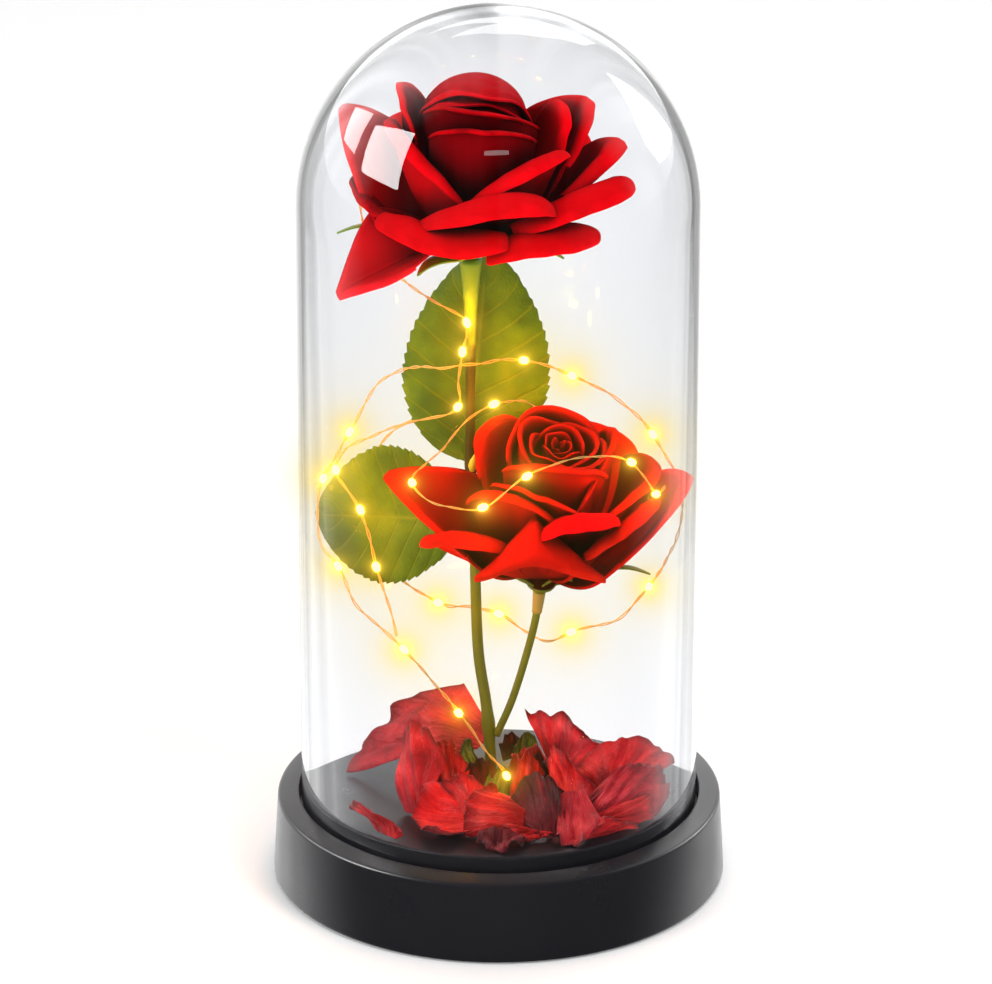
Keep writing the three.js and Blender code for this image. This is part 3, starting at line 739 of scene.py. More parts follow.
def tube_mesh(path: Sequence[Vector], radii: Sequence[float], sides: int) -> BMesh:
    """Sweeps a round section along a path and closes its ends.

    Args:
        path: ring centres.
        radii: radius at each ring.
        sides: faces round the tube.

    Returns:
        The bmesh.
    """
    rings = len(path) - 1
    mesh = bmesh.new()
    bmesh.ops.create_grid(mesh, x_segments=sides, y_segments=rings, size=1.0)
    normal = Vector((1, 0, 0))
    frames = []
    for i in range(rings + 1):
        tangent = tangent_at(path, i)
        normal = (normal - tangent * normal.dot(tangent)).normalized()
        frames.append((normal.copy(), tangent.cross(normal)))
    for vert in mesh.verts:
        ring = round((vert.co.y + 1) / 2 * rings)
        angle = math.pi * (vert.co.x + 1)
        across, up = frames[ring]
        vert.co = path[ring] + (across * math.cos(angle) + up * math.sin(angle)) * radii[ring]
    bmesh.ops.remove_doubles(mesh, verts=mesh.verts, dist=1e-5)
    bmesh.ops.holes_fill(mesh, edges=[e for e in mesh.edges if e.is_boundary], sides=0)
    bmesh.ops.recalc_face_normals(mesh, faces=mesh.faces)
    return mesh


def spun_mesh(profile: Sequence[tuple[float, float]], steps: int, closed: bool = False) -> BMesh:
    """Spins a profile of radius and height round the Z axis.

    Args:
        profile: radius and height of each corner.
        steps: faces round.
        closed: whether the last corner joins the first.

    Returns:
        The bmesh.
    """
    mesh = bmesh.new()
    verts = [mesh.verts.new((r, 0, z)) for r, z in profile]
    edges = [mesh.edges.new(pair) for pair in zip(verts, verts[1:])]
    if closed:
        edges.append(mesh.edges.new((verts[-1], verts[0])))
    bmesh.ops.spin(mesh, geom=verts + edges, cent=(0, 0, 0), axis=(0, 0, 1), angle=2 * math.pi, steps=steps,
                   use_merge=True)
    bmesh.ops.remove_doubles(mesh, verts=mesh.verts, dist=1e-4)
    bmesh.ops.recalc_face_normals(mesh, faces=mesh.faces)
    return mesh


def rounded(profile: Sequence[tuple[float, float, float]], steps: int = 5) -> list[tuple[float, float]]:
    """Rounds the corners of a profile.

    Args:
        profile: radius, height and corner rounding of each corner.
        steps: points on each arc.

    Returns:
        The rounded profile.
    """
    result: list[tuple[float, float]] = []
    for i, (r, z, fillet) in enumerate(profile):
        if fillet <= 0 or i in (0, len(profile) - 1):
            result.append((r, z))
            continue
        here = Vector((r, z))
        before = (Vector(profile[i - 1][:2]) - here).normalized()
        after = (Vector(profile[i + 1][:2]) - here).normalized()
        for k in range(steps + 1):
            t = k / steps
            start, end = here + before * fillet, here + after * fillet
            curve = start * (1 - t) ** 2 + here * 2 * t * (1 - t) + end * t * t
            result.append((curve.x, curve.y))
    return result


def smooth_route(route: Sequence[Triple], step: float, pieces: int = 24) -> list[Vector]:
    """Runs a smooth line through the given points.

    Args:
        route: the points, in millimetres.
        step: distance between the points of the line.
        pieces: straight pieces between two given points that the line is measured along.

    Returns:
        The line's points.
    """
    knots = [Vector(p) for p in route]
    knots = [knots[0] * 2 - knots[1], *knots, knots[-1] * 2 - knots[-2]]
    dense: list[Vector] = []
    for a, b, c, d in zip(knots, knots[1:], knots[2:], knots[3:]):
        t0 = 0.0
        t1 = t0 + max((b - a).length, 1e-6) ** 0.5
        t2 = t1 + max((c - b).length, 1e-6) ** 0.5
        t3 = t2 + max((d - c).length, 1e-6) ** 0.5
        for k in range(pieces):
            t = t1 + (t2 - t1) * k / pieces
            ab = a * ((t1 - t) / (t1 - t0)) + b * ((t - t0) / (t1 - t0))
            bc = b * ((t2 - t) / (t2 - t1)) + c * ((t - t1) / (t2 - t1))
            cd = c * ((t3 - t) / (t3 - t2)) + d * ((t - t2) / (t3 - t2))
            abc = ab * ((t2 - t) / (t2 - t0)) + bc * ((t - t0) / (t2 - t0))
            bcd = bc * ((t3 - t) / (t3 - t1)) + cd * ((t - t1) / (t3 - t1))
            dense.append(abc * ((t2 - t) / (t2 - t1)) + bcd * ((t - t1) / (t2 - t1)))
    dense.append(knots[-2])
    lengths = [0.0]
    for before, after in zip(dense, dense[1:]):
        lengths.append(lengths[-1] + (after - before).length)
    count = max(int(lengths[-1] / step), 2)
    line = []
    index = 0
    for k in range(count + 1):
        goal = lengths[-1] * k / count
        while index < len(lengths) - 2 and lengths[index + 1] < goal:
            index += 1
        span = max(lengths[index + 1] - lengths[index], 1e-9)
        line.append(dense[index].lerp(dense[index + 1], min((goal - lengths[index]) / span, 1.0)))
    return line


# Base and dome
@dataclass
class Base:
    """The round moulded base: raised deck, groove for the glass, cover set in the underside."""

    foot_r: float = 57.5
    top_r: float = 56.3
    top_z: float = 21.0
    ring_inner_r: float = 50.9
    ring_inner_z: float = 22.0
    groove_z: float = 17.0
    plug_r: float = 47.2
    deck_z: float = 25.0
    seat_r: float = 32.0
    seat_depth: float = 2.4
    cover_gap: float = 0.5
    cover_inset: float = 0.3
    facets: int = 128
    cover_facets: int = 96

    def build(self) -> None:
        """Builds the base and its cover."""
        profile = rounded([
            (0, self.seat_depth, 0), (self.seat_r, self.seat_depth, 0.2), (self.seat_r, 0, 0.4),
            (self.foot_r, 0, 1.0), (self.top_r, self.top_z, 0.9), (self.ring_inner_r, self.ring_inner_z, 0.5),
            (self.ring_inner_r, self.groove_z, 0.4), (self.plug_r, self.groove_z, 0.4),
            (self.plug_r, self.deck_z, 0.8), (0, self.deck_z, 0),
        ])
        finish_piece(spun_mesh(profile, self.facets), "base_moulding", Finish.BASE, "base", "base_plastic")
        cover_r = self.seat_r - self.cover_gap
        cover_z = self.seat_depth - self.cover_inset
        cover = rounded([(0, 0, 0), (cover_r, 0, 0.4), (cover_r, cover_z, 0.2), (0, cover_z, 0)])
        finish_piece(spun_mesh(cover, self.cover_facets), "underside_cover", Finish.DECK, "battery_cover",
                     "cover_plastic")


@dataclass
class Dome:
    """The clear bell: straight wall, half-round top, rounded foot."""

    radius: float = 50.2
    wall: float = 2.2
    foot_z: float = 17.3
    centre_z: float = 180.0
    arc_steps: int = 30
    lip_steps: int = 8
    facets: int = 160

    def build(self) -> None:
        """Builds the bell as one closed wall."""
        inner = self.radius - self.wall
        arc = [math.pi / 2 * k / self.arc_steps for k in range(self.arc_steps + 1)]
        outside = [(self.radius * math.cos(a), self.centre_z + self.radius * math.sin(a)) for a in arc]
        inside = [(inner * math.cos(a), self.centre_z + inner * math.sin(a)) for a in reversed(arc)]
        outside[-1] = (0.0, self.centre_z + self.radius)
        inside[0] = (0.0, self.centre_z + inner)
        middle = self.radius - self.wall / 2
        lip = [(middle - self.wall / 2 * math.cos(a), self.foot_z + self.wall / 2 * (1 - math.sin(a)))
               for a in [math.pi * k / self.lip_steps for k in range(self.lip_steps + 1)]]
        mesh = spun_mesh(outside + inside + lip, self.facets, closed=True)
        bmesh.ops.dissolve_degenerate(mesh, dist=1e-4, edges=mesh.edges)
        piece = finish_piece(mesh, "dome_bell", Finish.GLASS, "glass_dome", "dome_glass")
        # The softboxes light the flowers as if the clear wall weren't there.
        piece.visible_shadow = False
        piece.visible_diffuse = False


# Stems and leaves
@dataclass
class Stems:
    """The forked stem with its ferrule and bud."""

    main: tuple[Triple, ...] = ((-2, -2, 25.6), (-2, 0, 34), (-3, 1, 48), (-5, 2, 62), (-6, 2, 89),
                                (-7, 1, 114), (-7, 0, 147), (-7, 0, 166.1))
    branch: tuple[Triple, ...] = ((-0.6, -0.1, 41), (3, -1, 50), (7, -2, 64), (9.2, -3, 74), (10, -3, 80.5))
    main_r: float = 1.4
    branch_r: float = 0.95
    ferrule_rings: int = 8
    ferrule_wall: float = 0.25
    bud_foot: Triple = (-6.6, -2.1, 111.6)
    bud_axis: Triple = (0.1, -0.25, 1)
    bud_length: float = 5.4
    bud_r: float = 1.15
    bud_steps: int = 12

    def main_radius(self, t: float) -> float:
        """Gives the radius of the main stem, with its two knots and the flare under the flower.

        Args:
            t: 0 at the foot to 1 at the flower.

        Returns:
            The radius in millimetres.
        """
        knot = 0.35 * math.exp(-((t - 0.13) / 0.02) ** 2) + 0.3 * math.exp(-((t - 0.62) / 0.015) ** 2)
        flare = max(t - 0.8, 0) ** 2.4 * 85
        return self.main_r - 0.2 * t + knot + flare

    def build(self) -> None:
        """Builds both stems, the ferrule under the lower flower and the small bud."""
        line = smooth_route(self.main, 1.2)
        radii = [self.main_radius(i / (len(line) - 1)) for i in range(len(line))]
        finish_piece(tube_mesh(line, radii, 20), "main_stem", Finish.STEM, "stem_main", "stem_green")
        line = smooth_route(self.branch, 0.8)
        radii = [self.branch_r + 0.1 * math.sin(i * 0.7) * (i % 9 == 0) for i in range(len(line))]
        finish_piece(tube_mesh(line, radii, 16), "branch_stem", Finish.STEM, "stem_branch", "stem_green")
        top = line[-self.ferrule_rings:]
        radii = [self.branch_r + self.ferrule_wall + 0.06 * i for i in range(len(top))]
        finish_piece(tube_mesh(top, radii, 16), "branch_ferrule", Finish.FERRULE, None, "stem_green")
        steps = range(self.bud_steps + 1)
        axis = Vector(self.bud_axis).normalized()
        bud = [Vector(self.bud_foot) + axis * (self.bud_length * k / self.bud_steps) for k in steps]
        radii = [self.bud_r * max(math.sin(math.pi * (k / self.bud_steps) ** 0.7), 0.04) for k in steps]
        finish_piece(tube_mesh(bud, radii, 14), "leaf_bud_green", Finish.BUD, "leaf_bud", "bud_green")


@dataclass
class Leaf:
    """A serrated leaf with pressed ribs."""

    name: str
    root: Triple
    tip: Triple
    face: Triple
    width: float
    fullness: float
    cup: float
    bow: float
    teeth: int = 19
    tooth_depth: float = 0.045
    rib_rise: float = 0.18
    thick: float = 0.45

    def point(self) -> Point:
        """Gives the blade's surface.

        Returns:
            The surface function.
        """
        root, tip, toward = Vector(self.root), Vector(self.tip), Vector(self.face)
        axis = tip - root
        side = axis.cross(toward).normalized()
        face = side.cross(axis).normalized()

        def surface(u: float, v: float) -> Vector:
            full = math.sin(math.pi * min(v ** self.fullness * 0.97 + 0.03, 1.0))
            saw = (v * self.teeth) % 1.0
            tooth = 1 + self.tooth_depth * (saw - 0.5) * (1 if 0.05 < v < 0.97 else 0) * abs(u) ** 3
            half = self.width / 2 * max(full, 0.0) ** 0.62 * tooth
            turns = LEAF_RIBS * (v - RIB_LEAN * abs(u))
            ribs = self.rib_rise * math.cos(2 * math.pi * turns) * min(abs(u) * 4, 1) * (1 - v * 0.5)
            wave = 0.5 * noise.noise(Vector((u * 1.3, v * 3, len(self.name)))) * abs(u) * 2
            lift = self.cup * u * u + self.bow * math.sin(math.pi * v) + ribs + wave
            lean = axis * (0.03 * abs(u) * 0.5)
            return root + axis * v + lean * (1 - v) + side * half * u + face * lift

        return surface

    def build(self) -> None:
        """Builds the leaf."""
        mesh = sheet_mesh(self.point(), LEAF_COLUMNS, self.teeth * 6, self.thick)
        finish_piece(mesh, f"{self.name}_blade", Finish.LEAF, self.name, "leaf_green")


# Roses
@dataclass
class Petal:
    """One cloth petal: it fans out from the flower's head to a rim given by three points.

    A loose petal stands for no node of the solids.
    """

    name: str
    rim: tuple[Triple, Triple, Triple]
    belly: float
    lip: float = 0.0
    root: float = 3.0
    drop: float = 0.0
    sharp: float = 0.0
    arch: float = 0.0
    curl: float = 2.4
    finish: Finish | None = None
    loose: bool = False
    ripple: float = 1.1
    fine_ripple: float = 0.35

    def point(self, head: Vector, seed: float) -> Point:
        """Gives the petal's surface.

        Args:
            head: where the flower's petals are rooted.
            seed: moves the small ripples, so that no two petals share them.

        Returns:
            The surface function.
        """
        a, b, c = (Vector(p) for p in self.rim)
        foot = head - UP * self.drop
        roll = max(self.lip, 0.9)
        reach = (b - foot).length
        fold = 1 - roll * self.curl / (reach + roll * self.curl)

        def rim(u: float) -> Vector:
            soft = math.sqrt(u * u + 0.012) - 0.0548 * (1 - abs(u))
            straight = b.lerp(a if u < 0 else c, min(soft, 1.0))
            return arc_point(a, b, c, (u + 1) / 2).lerp(straight, self.sharp)

        def outward(u: float) -> Vector:
            edge = rim(u)
            return Vector((edge.x - head.x, edge.y - head.y, 0)).normalized()

        def body(u: float, w: float) -> Vector:
            out = outward(u)
            bulge = math.sin(math.pi * max(w, 0.0) ** 0.8)
            place = (foot + out * self.root).lerp(rim(u), w)
            lift = self.arch * math.sin(math.pi * max(w, 0.0) ** 2.2) * (1 - 0.85 * abs(u) ** 0.8)
            rise = Vector((0, 0, lift - bulge * self.belly * 0.65))
            return place + out * (bulge * self.belly * 0.75) + rise

        def surface(u: float, v: float) -> Vector:
            w = min(v / fold, 1.0)
            out = outward(u)
            rise = (body(u, 1.0) - body(u, 0.94)).normalized()
            over = (out * rise.z - UP * rise.dot(out)).normalized()
            rise = (out * rise.dot(out) + Vector((0, 0, rise.z))).normalized()
            radius = roll * (0.45 + 0.55 * (1 - u * u) ** 0.7)
            corner = 0.05 * u ** 6
            place = body(u, w * (1 - corner)) - rise * radius * w ** 5
            if v > fold:
                turn = (v - fold) / (1 - fold) * self.curl
                place = place + (rise * math.sin(turn) + over * (1 - math.cos(turn))) * radius
            ripple = noise.noise(Vector((u * 1.5 + seed, v * 1.9, seed * 0.37)))
            fine = noise.noise(Vector((u * 4.2, v * 2.6 + seed, seed)))
            return place + over * (ripple * self.ripple + fine * self.fine_ripple) * w

        return surface


@dataclass
class Bud:
    """The rolled middle of a rose: small petals that wrap one over the next."""

    at: Triple
    axis: Triple
    radius: float
    height: float
    wraps: int
    dome: float
    core: float
    start_deg: float
    step_deg: float = 151.0
    wide_deg: float = 118.0
    lean: float = 0.1
    lip: float = 1.0
    lip_from: float = 0.9
    lip_turn: float = 2.3
    ripple: float = 1.0
    spread: float = 0.9
    corner: float = 0.0
    sag: float = 4.5
    thick: float = 0.45

    def wrap(self, number: int) -> Point:
        """Gives one of the wrapped petals.

        Args:
            number: its place, 0 for the innermost.

        Returns:
            The surface function, with u across the petal and v from its foot to its rim.
        """
        origin = Vector(self.at)
        turn = UP.rotation_difference(Vector(self.axis)).to_matrix()
        share = number / (self.wraps - 1)
        middle = math.radians(self.start_deg + number * self.step_deg)
        half = math.radians(self.wide_deg + 50 * (1 - share) ** 2)
        rim_r = self.core + (self.radius - self.core) * share ** self.spread
        top = self.height - self.dome * share ** 1.6
        roll = self.lip * (0.15 + share ** 1.5)
        seed = number * 5.3 + self.radius

        def surface(u: float, v: float) -> Vector:
            angle = middle + u * half
            w = min(v / self.lip_from, 1.0)
            spiral = rim_r * (1 + 0.1 * u + self.corner * ((1 - abs(u)) ** 1.4 - 0.3))
            swell = 0.28 + 0.72 * math.sin(math.pi / 2 * min(w * 1.3, 1.0))
            inward = 1 - self.lean * max(w - 0.72, 0) / 0.28 * (0.6 + 0.4 * math.cos(u * 2))
            r = spiral * swell * inward
            z = (top - self.sag * abs(u) ** 2.6) * w
            if v > self.lip_from:
                bend = (v - self.lip_from) / (1 - self.lip_from) * self.lip_turn
                r += roll * (1 - math.cos(bend))
                z += roll * (math.sin(bend) - 0.4)
            r += self.ripple * 0.5 * noise.noise(Vector((u * 2 + seed, w * 1.5, seed))) * w
            z += self.ripple * 0.7 * noise.noise(Vector((u * 2.2, seed, 1.7))) * w
            return origin + turn @ Vector((r * math.cos(angle), r * math.sin(angle), z))

        return surface

    def build(self) -> BMesh:
        """Builds all the wrapped petals as one piece.

        Returns:
            The bmesh.
        """
        return joined_sheets([self.wrap(number) for number in range(self.wraps)], WRAP_GRID, self.thick)


@dataclass
class Hood:
    """The closed middle of a rose: petals drawn over one another like bonnets, open to the front."""

    foot: Triple
    middle: Triple
    radii: Triple
    rims_deg: tuple[float, ...]
    axis: Triple = (0.02, -0.05, 1)
    inset: float = 0.055
    back_deg: float = -112.0
    side_deg: float = 84.0
    skew: float = 0.22
    tuck: float = 0.36
    pleat: float = 0.5
    pleat_turns: float = 52.0
    ripple: float = 0.9
    thick: float = 0.5

    def bonnet(self, number: int) -> Point:
        """Gives one of the petals.

        Args:
            number: its place, 0 for the outermost.

        Returns:
            The surface function, with u from side to side and v from the foot over the top to the rim.
        """
        foot, middle = Vector(self.foot), Vector(self.middle)
        size = 1 - self.inset * number
        back, side = math.radians(self.back_deg), math.radians(self.side_deg)
        seed = number * 4.1

        def shell(u: float, theta: float) -> Vector:
            belt = math.cos(u * side) ** 0.6
            spot = Vector((self.radii[0] * math.sin(u * side), -self.radii[1] * belt * math.sin(theta),
                           self.radii[2] * belt * math.cos(theta)))
            return middle + spot * size

        def surface(u: float, v: float) -> Vector:
            rim = math.radians(self.rims_deg[number]) * (1 + self.skew * u)
            rim += 0.16 * noise.noise(Vector((u * 2.1 + seed, seed, 0.4)))
            if v < self.tuck:
                share = v / self.tuck
                low = foot.lerp(shell(u, back), share)
                out = Vector((low.x - foot.x, low.y - foot.y, 0))
                return low + out * (0.9 * math.sin(math.pi * share) * (1 - share))
            w = (v - self.tuck) / (1 - self.tuck)
            spot = shell(u, back + (rim - back) * w)
            out = (spot - middle).normalized()
            lip = 1.1 * max((w - 0.86) / 0.14, 0.0) ** 2
            ripple = noise.noise(Vector((u * 1.8 + seed, w * 2.4, seed))) * self.ripple * w
            sway = 4 * noise.noise(Vector((u * 1.3, seed, 2.2)))
            pleat = self.pleat * math.sin(self.pleat_turns * w + sway) * max((w - 0.6) / 0.4, 0.0)
            return spot + out * (lip + ripple + pleat)

        return surface

    def build(self) -> BMesh:
        """Builds all the bonnets as one piece.

        Returns:
            The bmesh.
        """
        bonnets = [self.bonnet(number) for number in range(len(self.rims_deg))]
        return joined_sheets(bonnets, BONNET_GRID, self.thick)


@dataclass
class Rose:
    """A velvet rose: a bud, petals round it and a green calyx below."""

    node: str
    head: Triple
    bud: Bud | Hood
    cloth: Finish
    slot: str
    calyx_at: Triple
    cup: float
    sepals: tuple[Triple, ...]
    petals: tuple[Petal, ...]
    thick: float = 0.8
    bud_cloth: Finish | None = None
    heart_facets: int = 24
    cup_facets: int = 28
    sepal_thick: float = 0.5

    def build(self) -> None:
        """Builds every piece of the flower."""
        bud_cloth = self.bud_cloth or self.cloth
        finish_piece(self.bud.build(), f"{self.node}_wrapped_bud", bud_cloth, f"{self.node}_bud", self.slot)
        # The cloth-covered heart that the petals are glued to, in the darker velvet copy: painted shade deep
        # in the flower.
        heart = spun_mesh(rounded(HEART), self.heart_facets)
        place_along(heart, self.calyx_at, self.bud.axis)
        finish_piece(heart, f"{self.node}_glued_heart", Finish.VELVET_SHADE, None, self.slot)
        for number, petal in enumerate(self.petals):
            surface = petal.point(Vector(self.head), number * 3.7 + len(self.node))
            mesh = sheet_mesh(surface, *PETAL_GRID, self.thick)
            finish = petal.finish or self.cloth
            node = None if petal.loose else f"{self.node}_{petal.name}"
            finish_piece(mesh, f"{self.node}_{petal.name}_petal", finish, node, self.slot)
        self.build_calyx()

    def build_calyx(self) -> None:
        """Builds the green cup and its pointed sepals."""
        profile = [(0, 0), (1.7, 0), (self.cup * 0.55, 0.9), (self.cup * 0.9, 2.0), (self.cup, 2.8), (0, 2.8)]
        mesh = spun_mesh(profile, self.cup_facets)
        place_along(mesh, self.calyx_at, self.bud.axis)
        for tip in self.sepals:
            surface = self.sepal(Vector(self.calyx_at), Vector(tip))
            join_into(mesh, sheet_mesh(surface, *SEPAL_GRID, self.sepal_thick))
        name = self.node.replace("rose_", "")
        finish_piece(mesh, f"{self.node}_sepal_cup", Finish.STEM, f"calyx_{name}", "stem_green")

    @staticmethod
    def sepal(at: Vector, tip: Vector) -> Point:
        """Gives one sepal's surface.

        Args:
            at: the cup's foot.
            tip: the sepal's point.

        Returns:
            The surface function.
        """
        out = Vector((tip.x - at.x, tip.y - at.y, 0)).normalized()
        side = out.cross(UP)
        start = at + Vector((0, 0, 1.6)) + out * 0.6
        length = (tip - start).length
        wide = min(3.1, 48 / length)

        def surface(u: float, v: float) -> Vector:
            if v < 0.4:
                fullness = 0.5 + 1.2 * v
            else:
                fullness = 0.98 * math.cos((v - 0.4) / 0.6 * math.pi / 2) ** 0.8 + 0.02
            half = wide * fullness
            arch = 0.13 * length * math.sin(math.pi * v ** 1.4)
            cup = 1.1 * abs(u) ** 1.5 * math.sin(math.pi * min(v + 0.15, 1.0))
            return start.lerp(tip, v) + side * half * u + Vector((0, 0, arch - cup))

        return surface


# Fallen petals
@dataclass
class FallenPetal:
    """A dried petal or scrap that lies on the deck."""

    name: str
    root: Triple
    rim: tuple[Triple, Triple, Triple]
    belly: float
    cup: float = 2
    crumple: float = 1.9
    finish: Finish = Finish.PETAL_FALLEN
    thick: float = 0.3
    floor: float = 25.55
    wall: float = 46.6

    def point(self, seed: float) -> Point:
        """Gives the petal's crumpled surface.

        Args:
            seed: moves the creases.

        Returns:
            The surface function.
        """
        foot, a, b, c = (Vector(p) for p in (self.root, *self.rim))
        normal = (c - a).cross(b - foot).normalized()
        across = (c - a).normalized()

        def surface(u: float, v: float) -> Vector:
            edge = arc_point(a, b, c, (u + 1) / 2)
            start = foot + across * 3 * u
            along = (edge - start).normalized()
            bow = self.belly * math.sin(math.pi * v) * (1 - 0.4 * u * u) - self.cup * u * u * v
            fold = noise.noise(Vector((u * 1.5 + seed, v * 1.6 - seed, seed)))
            crease = noise.noise(Vector((u * 4 - seed, v * 2.5, seed * 2)))
            pleat = 0.42 * math.sin(u * 13 + 3 * fold + seed) * math.sin(math.pi * min(v, 0.8) / 1.6) ** 2
            lobe = noise.noise(Vector((u * 2.7, seed * 5, 4)))
            curl = (max(v - 0.72, 0) / 0.28) ** 2 * (1.6 + 3.2 * lobe)
            rough = self.crumple * (fold * 1.3 + crease * 0.7) * (0.35 + v)
            ragged = (2.2 * lobe + 1.0 * noise.noise(Vector((u * 7, seed * 3, 0.5)))) * v ** 4
            place = start.lerp(edge, v) + normal * (bow + rough + pleat + curl)
            place += along * (ragged - 0.2 * curl)
            # It stays inside the glass and above the deck.
            inside = min(self.wall / max(math.hypot(place.x, place.y), 1.0), 1.0)
            return Vector((place.x * inside, place.y * inside, max(place.z, self.floor + 0.25 * abs(fold))))

        return surface

    def build(self, seed: float, loose: bool) -> None:
        """Builds the petal.

        Args:
            seed: moves its creases.
            loose: whether it stands for no node of the solids.
        """
        mesh = sheet_mesh(self.point(seed), *FALLEN_GRID, self.thick)
        node = None if loose else f"fallen_{self.name}"
        slot = "petal_dried" if self.finish in DRIED else "petal_fallen"
        finish_piece(mesh, f"deck_{self.name}_petal", self.finish, node, slot)


# Fairy lights
@dataclass
class Lamp:
    """A resin droplet on the wire with a small warm light just before it, whose offset is in metres."""

    name: str
    at: Triple
    along: Triple
    radius: float = 0.95
    glow: float = 0.012
    node: str | None = None
    stretch: float = 1.45
    offset: Triple = (0, -0.0022, 0.0012)
    light_colour: str = "ff9a2a"

    def build(self) -> None:
        """Builds the droplet and its light, whose power is in watts."""
        mesh = bmesh.new()
        bmesh.ops.create_uvsphere(mesh, u_segments=12, v_segments=8, radius=self.radius)
        bmesh.ops.scale(mesh, vec=(1, 1, self.stretch), verts=mesh.verts)
        place_along(mesh, self.at, self.along)
        piece = finish_piece(mesh, self.name, Finish.LAMP, self.node, "string_lamp")
        piece.visible_glossy = False
        place = Vector(self.at) * MM + Vector(self.offset)
        holder = new_light(f"{self.name}_glow", "POINT", place, self.glow,
                           color=linear(self.light_colour)[:3], shadow_soft_size=self.radius * MM * 1.2)


@dataclass
class LightString:
    """A run of the fairy-light string: two twisted copper wires with a lit droplet at each lamp."""

    name: str
    route: tuple[Triple, ...]
    lamps: tuple[Triple, ...]
    strand_r: float = 0.16
    twist_r: float = 0.2
    pitch: float = 11.0
    step: float = 0.7
    sides: int = 6

    def build(self) -> None:
        """Builds the wires and the lamps of this run."""
        line = smooth_route(self.route, self.step)
        mesh = bmesh.new()
        for phase in (0.0, math.pi):
            strand = self.strand(line, phase)
            join_into(mesh, tube_mesh(strand, [self.strand_r] * len(strand), self.sides))
        finish_piece(mesh, f"{self.name}_wire", Finish.WIRE, self.name, "string_wire")
        for number, lamp in enumerate(self.lamps, 1):
            spot = Vector(lamp)
            nearest = min(range(len(line)), key=lambda i: (line[i] - spot).length)
            Lamp(f"{self.name}_lamp_{number}", line[nearest], tangent_at(line, nearest)).build()

    def strand(self, line: list[Vector], phase: float) -> list[Vector]:
        """Winds one strand round the run's centre line.

        Args:
            line: the centre line.
            phase: where the strand starts round the line.

        Returns:
            The strand's centre line.
        """
        normal = UP
        points = []
        for i, centre in enumerate(line):
            tangent = tangent_at(line, i)
            normal = (normal - tangent * normal.dot(tangent)).normalized()
            other = tangent.cross(normal)
            slack = noise.noise(Vector((i * 0.05, len(line) * 0.3, 2.0)))
            angle = 2 * math.pi * i * self.step / self.pitch + 2 * slack + phase
            part = self.twist_r * (1 + 1.4 * max(slack, 0))
            kink = Vector((slack, noise.noise(Vector((i * 0.09, 5.0, 1.0))),
                           noise.noise(Vector((i * 0.09, 1.0, 7.0))))) * 0.5
            points.append(centre + kink + (normal * math.cos(angle) + other * math.sin(angle)) * part)
        return points


